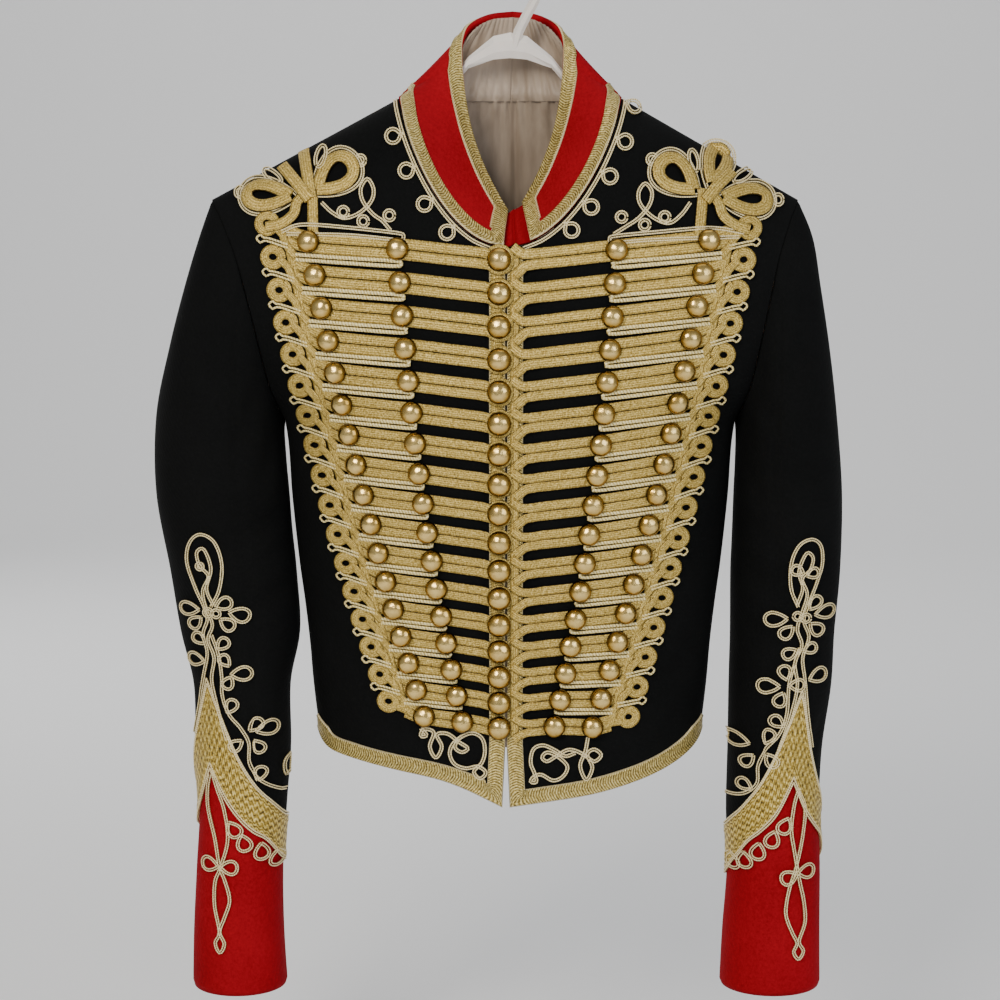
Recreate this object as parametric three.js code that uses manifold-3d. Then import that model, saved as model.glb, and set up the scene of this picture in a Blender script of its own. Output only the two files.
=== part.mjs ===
// A cropped hussar-style jacket, closed down the front and hung on a moulded hanger.
// Millimetres. +X is the wearer's left, -Y the front and +Z up. The origin is the inside
// of the hanger's hook, where it rests on a rail.

import * as THREE from 'three';
import Module from 'manifold-3d';

const wasm = await Module();
wasm.setup();

// ---- driving dimensions ---------------------------------------------------------------

const CLOTH = 2.0; // wall of the fronts, back and sleeves, with canvas and lining
const COLLAR_WALL = 3.0; // stiffened collar
const COLLAR_LAY = 1.0; // between the collar and its lace or lining
const LINING = 1.0;
const SEAM_GAP = 0.3; // between pieces that are sewn together
const LAY = 0.9; // between a panel and the trim that is sewn on it
const CUFF_LAY = 1.7; // the same under the broad cuff lace
const BRAID = 1.8; // thickness of the flat braids

const NECK_HALF = 85; // neck point, from the middle
const NECK_TOP = -122; // height of the neck point
const NECK_DROP = 111; // neck point down to the front of the neckline
const NECK_BACK_RISE = 4;
const SHOULDER_Z = -199; // shoulder tip
const SHOULDER_HALF = { left: 229, right: 221 }; // shoulder tip, from the middle
const SHOULDER_ROUND = 90; // how far down the shoulder rounds over into the chest
const CLOSING_X = -3.2; // where the two fronts meet
const CLOSING_GAP = 0.35; // half the gap between the fronts
const CLOSING_FLARE = 2.4; // each front swings out this much at the hem
const ARMPIT_Z = -370;
const SUPER = 2.6; // how square the body's section is

const BUTTON_RADIUS = 9.35;
const BUTTON_HEIGHT = 7.5;
const BUTTON_SIDES = 7;
const SHANK_RADIUS = 2.6;
const SHANK_SIDES = 3;
const ROWS = 17;
const LONG_ROWS = 8; // the wider rows at the top bend once more over the chest
const BAR_HALF = 8; // half the height of a pair of flat braids
const RING_OUTER = 9.75;
const RING_HOLE = 2.9;
const RING_SIDES = 7;

const HEM_LACE = 12.5;
const FRONT_LACE = 12.5;
const LACE = 1.2; // thickness of the woven lace

const RING_POINTS = 20; // points round a sleeve
const CUFF_APEX = { left: 3, right: 4 }; // the ring point under which each cuff is highest
const CUFF_END = -812;
const CUFF_SEAM_GAP = 1.2; // measured upright; the seam itself is steep

// The hung body: half-width at the side seams, depth of the front and of the back.
const BODY = [
  { z: -690, half: 138, front: 63, back: 47 },
  { z: -650, half: 142, front: 63, back: 47 },
  { z: -612, half: 150, front: 62, back: 47 },
  { z: -575, half: 154.5, front: 60, back: 46 },
  { z: -543, half: 157, front: 59, back: 48 },
  { z: -511, half: 160.5, front: 60, back: 51 },
  { z: -480, half: 164.5, front: 62, back: 54 },
  { z: -430, half: 169.5, front: 65, back: 58 },
  { z: -370, half: 174.5, front: 67, back: 62 },
  { z: -355, half: 184, front: 67, back: 62.6 },
  { z: -340, half: 199, front: 67, back: 63 },
  { z: -300, half: 224, front: 64, back: 63 },
  { z: -262, half: 240, front: 59, back: 61 },
  { z: -230, half: 248, front: 55, back: 59 },
  { z: -199, half: 254, front: 54, back: 57 },
  { z: -110, half: 258, front: 54, back: 53 },
];

// Armhole, from the armpit up to the shoulder tip: distance from the middle.
const ARMHOLE = [
  { z: -370, out: 174.5 },
  { z: -340, out: 184 },
  { z: -286, out: 196 },
  { z: -242, out: 207 },
  { z: -213, out: 218 },
  { z: -204, out: 222.7 },
  { z: -199, out: 226 },
];

// Rows of the cloth, hem to shoulder seam. side is the height on the side seam or the
// armhole; front and back are heights on the middle lines; angles run along the neckline.
const CLOTH_ROWS = [
  { side: -612, front: -662, back: -640 },
  { side: -580, front: -625, back: -605 },
  { side: -546, front: -586, back: -567 },
  { side: -511, front: -546, back: -527 },
  { side: -476, front: -505, back: -485 },
  { side: -441, front: -461, back: -440 },
  { side: -405, front: -416, back: -394 },
  { side: -370, front: -370, back: -348 },
  { side: -340, front: -331, back: -303 },
  { side: -312, front: -294, back: -259 },
  { side: -286, front: -262, back: -217 },
  { side: -262, frontAngle: 90, back: -178 },
  { side: -242, frontAngle: 68, back: -143 },
  { side: -226, frontAngle: 48, backAngle: 90 },
  { side: -213, frontAngle: 30, backAngle: 62 },
  { side: -204.5, frontAngle: 16, backAngle: 36 },
  { side: -200.3, frontAngle: 6, backAngle: 14 },
  { side: -199, frontAngle: 0, backAngle: 0 },
];
const ARMPIT_ROW = 7;
const TIP_ROW = CLOTH_ROWS.length - 1;

// How far the hem of each front is drawn up (or let down) along its width, 0 at the
// closing to 1 at the side seam.
const HEM_RISE = {
  left: [
    { part: 0, rise: 0 }, { part: 0.14, rise: 7.5 }, { part: 0.25, rise: 9.5 },
    { part: 0.41, rise: 6.9 }, { part: 0.61, rise: 2.4 }, { part: 0.81, rise: -2.3 },
    { part: 1, rise: 0 },
  ],
  right: [
    { part: 0, rise: 0 }, { part: 0.11, rise: -2 }, { part: 0.3, rise: -5.5 },
    { part: 0.47, rise: -6.1 }, { part: 0.6, rise: -5.6 }, { part: 0.78, rise: -3.2 },
    { part: 1, rise: 0 },
  ],
};
const NECK_FRONT_ROW = 11;
const NECK_BACK_ROW = 13;
const FRONT_CELLS = 7; // cells across one front
const BACK_CELLS = 6; // cells across half the back

// Sleeve rings: height and distance from the middle of the outer and the inner edge,
// half the depth, and how far the sleeve has swung forward.
const SLEEVE = {
  left: [
    { outZ: -199, out: 229, inZ: -370, in: 174.9, depth: 39, swing: 0 },
    { outZ: -228, out: 239.5, inZ: -377, in: 175.4, depth: 46, swing: 0 },
    { outZ: -265, out: 251, inZ: -386, in: 175, depth: 51, swing: 0 },
    { outZ: -312, out: 263.5, inZ: -402, in: 173.8, depth: 53, swing: 0 },
    { outZ: -365, out: 274.5, inZ: -426, in: 172, depth: 53, swing: 0 },
    { outZ: -425, out: 275.5, inZ: -455, in: 170, depth: 51, swing: 0 },
    { outZ: -485, out: 265.5, inZ: -492, in: 166.5, depth: 48, swing: -1 },
    { outZ: -535, out: 257.5, inZ: -535, in: 164.5, depth: 45, swing: -3 },
    { outZ: -575, out: 248, inZ: -575, in: 172, depth: 43, swing: -6 },
    { outZ: -625, out: 247, inZ: -625, in: 172, depth: 41, swing: -10 },
    { outZ: -672, out: 244, inZ: -672, in: 175.5, depth: 39, swing: -14 },
    { outZ: -720, out: 246.5, inZ: -720, in: 178.5, depth: 38, swing: -18 },
    { outZ: -770, out: 249, inZ: -770, in: 178, depth: 39, swing: -22 },
    { outZ: -820, out: 250, inZ: -820, in: 175, depth: 40, swing: -26 },
  ],
  right: [
    { outZ: -199, out: 221, inZ: -370, in: 174.9, depth: 39, swing: 0 },
    { outZ: -228, out: 233, inZ: -377, in: 175.4, depth: 46, swing: 0 },
    { outZ: -265, out: 239.5, inZ: -386, in: 175.4, depth: 51, swing: 0 },
    { outZ: -312, out: 247, inZ: -402, in: 175, depth: 53, swing: 0 },
    { outZ: -365, out: 253.5, inZ: -426, in: 174.3, depth: 53, swing: 0 },
    { outZ: -425, out: 258.5, inZ: -455, in: 173.5, depth: 51, swing: 0 },
    { outZ: -485, out: 258, inZ: -492, in: 172.5, depth: 48, swing: -1 },
    { outZ: -535, out: 254, inZ: -535, in: 172.5, depth: 45, swing: -3 },
    { outZ: -575, out: 252, inZ: -575, in: 171.6, depth: 43, swing: -6 },
    { outZ: -625, out: 245, inZ: -625, in: 171, depth: 41, swing: -10 },
    { outZ: -672, out: 243, inZ: -672, in: 170, depth: 39, swing: -14 },
    { outZ: -720, out: 244, inZ: -720, in: 171, depth: 38, swing: -18 },
    { outZ: -770, out: 244, inZ: -770, in: 167.5, depth: 39, swing: -22 },
    { outZ: -820, out: 244.5, inZ: -820, in: 165, depth: 40, swing: -26 },
  ],
};
const SET_IN_RINGS = 4; // rings over which the armhole's shape turns into a plain tube
const LAST_PLAIN_RING = 7; // below it the rows follow the pointed cuff
const LEAD_ROWS = 3; // rows from there to the cuff seam
const CUFF_ROWS = 3;

// Broad lace over the cuff seam, by angle away from the point of the cuff.
const CUFF_LACE = {
  left: [
    { away: 0, lower: -633, upper: -567 },
    { away: 18, lower: -656, upper: -598 },
    { away: 36, lower: -672, upper: -627 },
    { away: 54, lower: -683, upper: -647 },
    { away: 72, lower: -690, upper: -659 },
    { away: 108, lower: -709, upper: -675 },
    { away: 180, lower: -722, upper: -688 },
  ],
  right: [
    { away: 0, lower: -643, upper: -575 },
    { away: 18, lower: -668, upper: -616 },
    { away: 36, lower: -682, upper: -644 },
    { away: 54, lower: -692, upper: -661 },
    { away: 72, lower: -705, upper: -673 },
    { away: 108, lower: -724, upper: -687 },
    { away: 180, lower: -732, upper: -695 },
  ],
};

// Free edge of the collar, by angle along the neckline: 90 to 0 runs from the front to
// the neck point, then 0 to -90 on to the middle of the back.
const COLLAR_TOP = [
  { angle: 90, out: 5, y: -21, z: -208 },
  { angle: 68, out: 12, y: -17, z: -195 },
  { angle: 48, out: 23, y: -11, z: -173 },
  { angle: 30, out: 31.5, y: -5, z: -149 },
  { angle: 16, out: 36, y: 0, z: -126 },
  { angle: 6, out: 37.8, y: 5, z: -108 },
  { angle: 0, out: 38.5, y: 10, z: -95 },
  { angle: -14, out: 38, y: 17, z: -80 },
  { angle: -36, out: 32, y: 28, z: -66 },
  { angle: -62, out: 18, y: 37, z: -57.5 },
  { angle: -90, out: 0, y: 41, z: -55 },
];
const COLLAR_SHIFT = 2; // the free edge sits this far towards the wearer's left
const COLLAR_FRONT_ANGLE = { left: 89, right: 78 };
const COLLAR_BULGE = 1.5;

// Where each frogging row crosses the button columns and ends in its ring.
const FROGGING = {
  left: [
    { name: 'centre', top: [8.5, -242.1], middle: [8.5, -433], bottom: [8.5, -599.4] },
    { name: 'inner', top: [84.8, -234], middle: [65.7, -425.5], bottom: [36.5, -594.9] },
    { name: 'outer', top: [151.7, -229.1], middle: [110.8, -420.1], bottom: [65.7, -591.2] },
    { name: 'ring', top: [183.5, -216], middle: [142.9, -407], bottom: [93, -580.8] },
  ],
  right: [
    { name: 'centre', top: [4, -243], middle: [4, -433.5], bottom: [4, -600] },
    { name: 'inner', top: [79.7, -234.9], middle: [62.4, -426.9], bottom: [33.7, -598.5] },
    { name: 'outer', top: [148.9, -228.1], middle: [110.3, -420], bottom: [62.7, -599.6] },
    { name: 'ring', top: [180.5, -219], middle: [139.2, -408], bottom: [90.5, -592.7] },
  ],
};

const COLOURS = {
  wool: 0x121313, red: 0x9a1119, satin: 0x8c7c6b, gold: 0xb09a63,
  paleGold: 0xcfb98a, gilt: 0xb89a68, lace: 0x9c8f66, white: 0xd9d2ca,
};

// ---- small helpers ---------------------------------------------------------------------

const radians = (degrees) => degrees * Math.PI / 180;
const lerp = (a, b, t) => a + (b - a) * t;
const clamp = (value, low, high) => Math.min(Math.max(value, low), high);
const smooth = (t) => t * t * (3 - 2 * t);
const vec = (x, y, z) => new THREE.Vector3(x, y, z);
const signOf = (side) => (side === 'right' ? 1 : -1);

// A smooth curve through one column of a table.
function curve(table, key, value) {
  const rows = [...table].sort((a, b) => a[key] - b[key]);
  const last = rows.length - 1;
  const slope = (i) => {
    const a = rows[Math.max(i - 1, 0)];
    const b = rows[Math.min(i + 1, last)];
    return (b[value] - a[value]) / (b[key] - a[key]);
  };
  return (at) => {
    const held = clamp(at, rows[0][key], rows[last][key]);
    const i = Math.max(rows.findIndex((row) => row[key] >= held) - 1, 0);
    const span = rows[i + 1][key] - rows[i][key];
    const t = (held - rows[i][key]) / span;
    const t2 = t * t;
    const t3 = t2 * t;
    return (2 * t3 - 3 * t2 + 1) * rows[i][value] + (t3 - 2 * t2 + t) * span * slope(i)
      + (3 * t2 - 2 * t3) * rows[i + 1][value] + (t3 - t2) * span * slope(i + 1);
  };
}

// ---- closed meshes ---------------------------------------------------------------------

function vertexNormals(points, quads) {
  const normals = points.map(() => vec(0, 0, 0));
  quads.forEach(([a, b, c, d]) => {
    const across = points[c].clone().sub(points[a]);
    const along = points[d].clone().sub(points[b]);
    const normal = across.cross(along);
    [a, b, c, d].forEach((i) => normals[i].add(normal));
  });
  return normals.map((normal) => normal.normalize());
}

// Turns a sheet of quads into a wall: the points are its outer face, and inward(i, normal)
// gives the way to the inner face where the plain normal won't do.
function wall(points, quads, thickness, inward, adjust) {
  const normals = vertexNormals(points, quads);
  const inner = points.map((point, i) => {
    const way = inward ? inward(i, normals[i]) : normals[i].clone().negate();
    const moved = point.clone().addScaledVector(way, thickness);
    return adjust ? adjust(moved, i) : moved;
  });
  const count = points.length;
  const triangles = [];
  const edges = new Map();
  quads.forEach(([a, b, c, d]) => {
    triangles.push([a, b, c], [a, c, d]);
    triangles.push([a + count, c + count, b + count], [a + count, d + count, c + count]);
    [[a, b], [b, c], [c, d], [d, a]].forEach(([from, to]) => {
      if (!edges.delete(`${to} ${from}`)) edges.set(`${from} ${to}`, [from, to]);
    });
  });
  // Both pieces at a seam split their edge strips from the same, higher end.
  edges.forEach(([from, to]) => {
    if (points[from].z > points[to].z) {
      triangles.push([from, from + count, to + count], [from, to + count, to]);
    } else {
      triangles.push([from, from + count, to], [to, from + count, to + count]);
    }
  });
  return { points: [...points, ...inner], triangles };
}

// Quads of a grid with rows of equal length, kept where use(row, column) allows.
function gridQuads(rows, columns, around, use = () => true) {
  const quads = [];
  const cells = around ? columns : columns - 1;
  for (let row = 0; row < rows - 1; row += 1) {
    for (let column = 0; column < cells; column += 1) {
      const next = (column + 1) % columns;
      const a = row * columns;
      if (use(row, column)) quads.push([a + column, a + next, a + columns + next, a + columns + column]);
    }
  }
  return quads;
}

const flipped = (quads) => quads.map(([a, b, c, d]) => [d, c, b, a]);

// Drops points that no quad uses, and numbers the rest again.
function compact(points, quads) {
  const used = [...new Set(quads.flat())].sort((a, b) => a - b);
  const place = new Map(used.map((old, i) => [old, i]));
  const renumbered = quads.map((quad) => quad.map((i) => place.get(i)));
  return { points: used.map((old) => points[old]), quads: renumbered };
}

// Signed volume, to turn a mesh that came out inside out.
function volume({ points, triangles }) {
  return triangles.reduce((sum, [a, b, c]) => (
    sum + points[a].dot(points[b].clone().cross(points[c])) / 6), 0);
}

function outward(solid) {
  if (volume(solid) > 0) return solid;
  return { points: solid.points, triangles: solid.triangles.map(([a, b, c]) => [a, c, b]) };
}

// A closed mesh lofted through rings of equal length, with flat ends unless it closes.
function loft(rings, closed = false) {
  const sides = rings[0].length;
  const points = rings.flat();
  const triangles = [];
  const steps = closed ? rings.length : rings.length - 1;
  for (let i = 0; i < steps; i += 1) {
    const from = i * sides;
    const to = ((i + 1) % rings.length) * sides;
    for (let j = 0; j < sides; j += 1) {
      const k = (j + 1) % sides;
      triangles.push([from + j, from + k, to + k], [from + j, to + k, to + j]);
    }
  }
  if (!closed) {
    const end = (rings.length - 1) * sides;
    for (let j = 1; j < sides - 1; j += 1) {
      triangles.push([0, j + 1, j], [end, end + j, end + j + 1]);
    }
  }
  return outward({ points, triangles });
}

function toManifold(solid) {
  const vertProperties = new Float32Array(solid.points.flatMap((point) => point.toArray()));
  const triVerts = new Uint32Array(solid.triangles.flat());
  return new wasm.Manifold(new wasm.Mesh({ numProp: 3, vertProperties, triVerts }));
}

function joined(solids) {
  const whole = solids.map(toManifold).reduce((sum, next) => sum.add(next));
  const { vertProperties, triVerts } = whole.getMesh();
  const points = [];
  for (let i = 0; i < vertProperties.length; i += 3) {
    points.push(vec(vertProperties[i], vertProperties[i + 1], vertProperties[i + 2]));
  }
  const triangles = [];
  for (let i = 0; i < triVerts.length; i += 3) {
    triangles.push([triVerts[i], triVerts[i + 1], triVerts[i + 2]]);
  }
  return { points, triangles };
}

const model = new THREE.Group();

function add(name, solid, colour, roughness, metalness = 0) {
  const { points, triangles } = outward(solid);
  const geometry = new THREE.BufferGeometry();
  const places = new Float32Array(points.flatMap((point) => point.toArray()));
  geometry.setAttribute('position', new THREE.BufferAttribute(places, 3));
  geometry.setIndex(triangles.flat());
  geometry.computeVertexNormals();
  const material = new THREE.MeshStandardMaterial({ color: colour, roughness, metalness });
  const mesh = new THREE.Mesh(geometry, material);
  mesh.name = name;
  model.add(mesh);
}

// ---- the body's surface ----------------------------------------------------------------

const bodyHalf = curve(BODY, 'z', 'half');
const bodyDepth = { front: curve(BODY, 'z', 'front'), back: curve(BODY, 'z', 'back') };
const armholeOut = curve(ARMHOLE, 'z', 'out');

// Height of the shoulder line over a point; it runs on up over the neck.
function shoulderLine(side, out) {
  const tip = SHOULDER_HALF[side];
  return NECK_TOP + (NECK_HALF - out) * (NECK_TOP - SHOULDER_Z) / (tip - NECK_HALF);
}

// Depth of the front or back at a place seen from the front. out is the distance from the
// middle, towards the given side.
function bodyY(face, side, out, z) {
  const across = clamp(Math.abs(out) / bodyHalf(z), 0, 1);
  const below = clamp((shoulderLine(side, Math.abs(out)) - z) / SHOULDER_ROUND, 0, 1);
  const depth = bodyDepth[face](z) * Math.sqrt(1 - across ** SUPER);
  const y = depth * Math.sqrt(1 - (1 - below) ** 2);
  return face === 'front' ? -y : y;
}

function bodyPoint(face, side, out, z, lift = 0) {
  const at = (o, h) => vec(signOf(side) * o, bodyY(face, side, o, h), h);
  const point = at(out, z);
  if (!lift) return point;
  const step = 0.5;
  const across = at(out + step, z).sub(at(out - step, z));
  const up = at(out, z + step).sub(at(out, z - step));
  const normal = across.cross(up).normalize();
  const facing = face === 'front' ? -1 : 1;
  if (normal.y * facing < 0) normal.negate();
  return point.addScaledVector(normal, lift);
}

function closingOut(side, z) {
  const flare = CLOSING_FLARE * clamp((-610 - z) / 50, 0, 1);
  return signOf(side) * CLOSING_X + CLOSING_GAP + flare;
}

// Neckline, by angle: 90 is the middle of the front or back, 0 the neck point.
function necklinePlace(face, side, angle) {
  const turn = radians(angle);
  if (face === 'back') {
    return { out: NECK_HALF * Math.cos(turn), z: NECK_TOP + NECK_BACK_RISE * Math.sin(turn) };
  }
  const start = closingOut(side, NECK_TOP);
  const drop = NECK_DROP * Math.sin(turn) ** 1.55;
  return { out: start + (NECK_HALF - start) * Math.cos(turn), z: NECK_TOP - drop };
}

function innerEnd(face, side, row) {
  const angle = row[`${face}Angle`];
  if (angle !== undefined) return necklinePlace(face, side, angle);
  const z = row[face];
  return { out: face === 'front' ? closingOut(side, z) : 0, z };
}

function outerEnd(side, row) {
  if (row.side <= ARMPIT_Z) return { out: bodyHalf(row.side), z: row.side };
  const stretch = (SHOULDER_HALF[side] - 226) * ((row.side - ARMPIT_Z) / (SHOULDER_Z - ARMPIT_Z)) ** 2;
  return { out: armholeOut(row.side) + stretch, z: row.side };
}

const hemRise = {
  left: curve(HEM_RISE.left, 'part', 'rise'),
  right: curve(HEM_RISE.right, 'part', 'rise'),
};

// A point of a row, s running from the middle line or neckline (0) to the side (1).
function rowPlace(face, side, row, s) {
  const a = innerEnd(face, side, row);
  const b = outerEnd(side, row);
  const turn = lerp(Math.asin(a.out / bodyHalf(a.z)), Math.asin(clamp(b.out / bodyHalf(b.z), 0, 1)), s);
  const out = bodyHalf(lerp(a.z, b.z, s)) * Math.sin(turn);
  const straight = clamp((row.side - ARMPIT_Z) / 110, 0, 1);
  const z = lerp(a.z, b.z, lerp(s, (out - a.out) / (b.out - a.out), straight));
  const nearHem = face === 'front' ? clamp((-520 - row.side) / 92, 0, 1) ** 1.5 : 0;
  return { out, z: z + nearHem * hemRise[side](s) };
}

// ---- armhole seam ----------------------------------------------------------------------

const armholeHeight = (z) => clamp((z - ARMPIT_Z) / (SHOULDER_Z - ARMPIT_Z), 0, 1);

// The way across the armhole seam, from the body to the sleeve.
function seamAcross(side, z) {
  return vec(signOf(side), 0, -1.1 * armholeHeight(z)).normalize();
}

// The way through the cloth at the armhole: mitred where body and sleeve turn together.
function seamInward(side, point, normal) {
  const across = seamAcross(side, point.z);
  const middle = vec(signOf(side) * 200, 0, -285);
  const inward = middle.sub(point);
  inward.addScaledVector(across, -inward.dot(across)).normalize();
  const mitre = smooth(clamp(armholeHeight(point.z) / 0.35, 0, 1));
  return normal.clone().negate().lerp(inward, mitre).normalize();
}

function armholeLoop(side) {
  const loop = [];
  for (let i = TIP_ROW; i >= ARMPIT_ROW; i -= 1) {
    const { out, z } = outerEnd(side, CLOTH_ROWS[i]);
    loop.push(bodyPoint('front', side, out, z));
  }
  for (let i = ARMPIT_ROW + 1; i < TIP_ROW; i += 1) {
    const { out, z } = outerEnd(side, CLOTH_ROWS[i]);
    loop.push(bodyPoint('back', side, out, z));
  }
  return loop;
}

// ---- fronts and back -------------------------------------------------------------------

// Outer points of a panel, row by row, with its edges drawn back from the seams.
function panelPoints(face, side, cells, lift = 0) {
  const facing = face === 'front' ? -1 : 1;
  const points = [];
  CLOTH_ROWS.forEach((row, index) => {
    for (let i = 0; i <= cells; i += 1) {
      const { out, z } = rowPlace(face, side, row, i / cells);
      const point = bodyPoint(face, side, out, z, lift);
      if (i === cells && index >= ARMPIT_ROW) {
        point.addScaledVector(seamAcross(side, z), -SEAM_GAP / 2);
      }
      point.y = facing * Math.max(facing * point.y, SEAM_GAP / 2);
      points.push(point);
    }
  });
  return points;
}

const keepOffSeam = (facing) => (point) => {
  point.y = facing * Math.max(facing * point.y, SEAM_GAP / 2);
  return point;
};

function front(side) {
  const columns = FRONT_CELLS + 1;
  const points = panelPoints('front', side, FRONT_CELLS);
  let quads = gridQuads(CLOTH_ROWS.length, columns, false);
  if (side === 'left') quads = flipped(quads);
  const inward = (i, normal) => {
    const row = Math.floor(i / columns);
    if (i % columns === FRONT_CELLS && row >= ARMPIT_ROW) return seamInward(side, points[i], normal);
    return normal.clone().negate();
  };
  return wall(points, quads, CLOTH, inward, keepOffSeam(-1));
}

function back() {
  const columns = 2 * BACK_CELLS + 1;
  const halves = {
    left: panelPoints('back', 'left', BACK_CELLS),
    right: panelPoints('back', 'right', BACK_CELLS),
  };
  const points = [];
  const half = BACK_CELLS + 1;
  CLOTH_ROWS.forEach((row, index) => {
    for (let i = BACK_CELLS; i >= 0; i -= 1) points.push(halves.left[index * half + i]);
    for (let i = 1; i <= BACK_CELLS; i += 1) points.push(halves.right[index * half + i]);
  });
  // Above the neckline the two shoulders part, so the right one has its own neck column.
  const rightNeck = new Map();
  for (let row = NECK_BACK_ROW + 1; row <= TIP_ROW; row += 1) {
    rightNeck.set(row, points.length);
    points.push(halves.right[row * half]);
  }
  const quads = flipped(gridQuads(CLOTH_ROWS.length, columns, false)).map((quad) => {
    const toRight = quad.some((i) => i < CLOTH_ROWS.length * columns && i % columns > BACK_CELLS);
    return quad.map((i) => {
      const row = Math.floor(i / columns);
      return toRight && i % columns === BACK_CELLS && rightNeck.has(row) ? rightNeck.get(row) : i;
    });
  });
  const inward = (i, normal) => {
    const row = Math.floor(i / columns);
    const column = i % columns;
    const atSide = column === 0 || column === columns - 1;
    if (i < CLOTH_ROWS.length * columns && atSide && row >= ARMPIT_ROW) {
      return seamInward(column === 0 ? 'left' : 'right', points[i], normal);
    }
    return normal.clone().negate();
  };
  return wall(points, quads, CLOTH, inward, keepOffSeam(1));
}

// ---- sleeves and cuffs -----------------------------------------------------------------

const ringAngle = (i) => 2 * Math.PI * i / RING_POINTS;

// The armhole loop, as measured in the plane from the shoulder tip to the armpit.
function loopInPlane(side) {
  const [top] = SLEEVE[side];
  const sign = signOf(side);
  const tip = vec(sign * top.out, 0, top.outZ);
  const pit = vec(sign * top.in, 0, top.inZ);
  const middle = tip.clone().add(pit).multiplyScalar(0.5);
  const axis = tip.clone().sub(middle);
  return armholeLoop(side).map((point) => {
    const offset = point.clone().sub(middle);
    const along = offset.dot(axis) / axis.lengthSq();
    const round = -offset.y / top.depth;
    const rest = offset.clone().addScaledVector(axis, -along);
    rest.y = 0;
    return { along, round, rest };
  });
}

// Ring number t (a fraction is allowed) of a sleeve: its point at ring place i.
function sleeveRingPoint(side, ring, i, loop) {
  const sign = signOf(side);
  const rows = SLEEVE[side];
  const { outZ, out, inZ, in: inner, depth, swing } = rows[ring];
  const top = vec(sign * out, swing, outZ);
  const bottom = vec(sign * inner, swing, inZ);
  const middle = top.clone().add(bottom).multiplyScalar(0.5);
  const axis = top.clone().sub(middle);
  const plain = smooth(clamp(ring / SET_IN_RINGS, 0, 1));
  const along = lerp(loop[i].along, Math.cos(ringAngle(i)), plain);
  const round = lerp(loop[i].round, Math.sin(ringAngle(i)), plain);
  return middle.addScaledVector(axis, along).add(vec(0, -round * depth, 0))
    .addScaledVector(loop[i].rest, 1 - plain);
}

const sleeveColumns = {};
['left', 'right'].forEach((side) => {
  const rows = SLEEVE[side].slice(SET_IN_RINGS);
  sleeveColumns[side] = {};
  ['out', 'in', 'depth', 'swing'].forEach((name) => {
    sleeveColumns[side][name] = curve(rows, 'outZ', name);
  });
});

// The lower sleeve, by angle (0 outside, 90 in front) and height, moved out by lift.
function lowSleevePoint(side, angle, z, lift = 0) {
  const column = sleeveColumns[side];
  const half = (column.out(z) - column.in(z)) / 2;
  const middle = (column.out(z) + column.in(z)) / 2;
  const depth = column.depth(z);
  const normal = vec(Math.cos(angle) / half, -Math.sin(angle) / depth, 0).normalize();
  const out = middle + half * Math.cos(angle) + normal.x * lift;
  return vec(signOf(side) * out, column.swing(z) - depth * Math.sin(angle) + normal.y * lift, z);
}

// Straight into the sleeve, level with the ground.
function intoSleeve(side, i, z) {
  const onFace = lowSleevePoint(side, ringAngle(i), z);
  return onFace.sub(lowSleevePoint(side, ringAngle(i), z, 1));
}

const laceEdge = {
  left: {
    lower: curve(CUFF_LACE.left, 'away', 'lower'),
    upper: curve(CUFF_LACE.left, 'away', 'upper'),
  },
  right: {
    lower: curve(CUFF_LACE.right, 'away', 'lower'),
    upper: curve(CUFF_LACE.right, 'away', 'upper'),
  },
};

function awayFromPoint(side, i) {
  const steps = Math.abs(i - CUFF_APEX[side]);
  return 360 / RING_POINTS * Math.min(steps, RING_POINTS - steps);
}

// Height on a cuff's lace: 0 on its upper edge to 1 on its lower edge.
function cuffLaceHeight(side, i, part) {
  const away = awayFromPoint(side, i);
  return lerp(laceEdge[side].upper(away), laceEdge[side].lower(away), part);
}

const cuffSeam = (side, i) => cuffLaceHeight(side, i, 0.5);

// All outer points of a sleeve above its cuff, ring by ring.
function sleevePoints(side) {
  const loop = loopInPlane(side);
  const points = [];
  for (let ring = 0; ring <= LAST_PLAIN_RING; ring += 1) {
    for (let i = 0; i < RING_POINTS; i += 1) {
      const point = sleeveRingPoint(side, ring, i, loop);
      if (ring === 0) point.addScaledVector(seamAcross(side, point.z), SEAM_GAP / 2);
      points.push(point);
    }
  }
  const start = SLEEVE[side][LAST_PLAIN_RING].outZ;
  for (let row = 1; row <= LEAD_ROWS; row += 1) {
    for (let i = 0; i < RING_POINTS; i += 1) {
      points.push(lowSleevePoint(side, ringAngle(i), lerp(start, cuffSeam(side, i), row / LEAD_ROWS)));
    }
  }
  return points;
}

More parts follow.
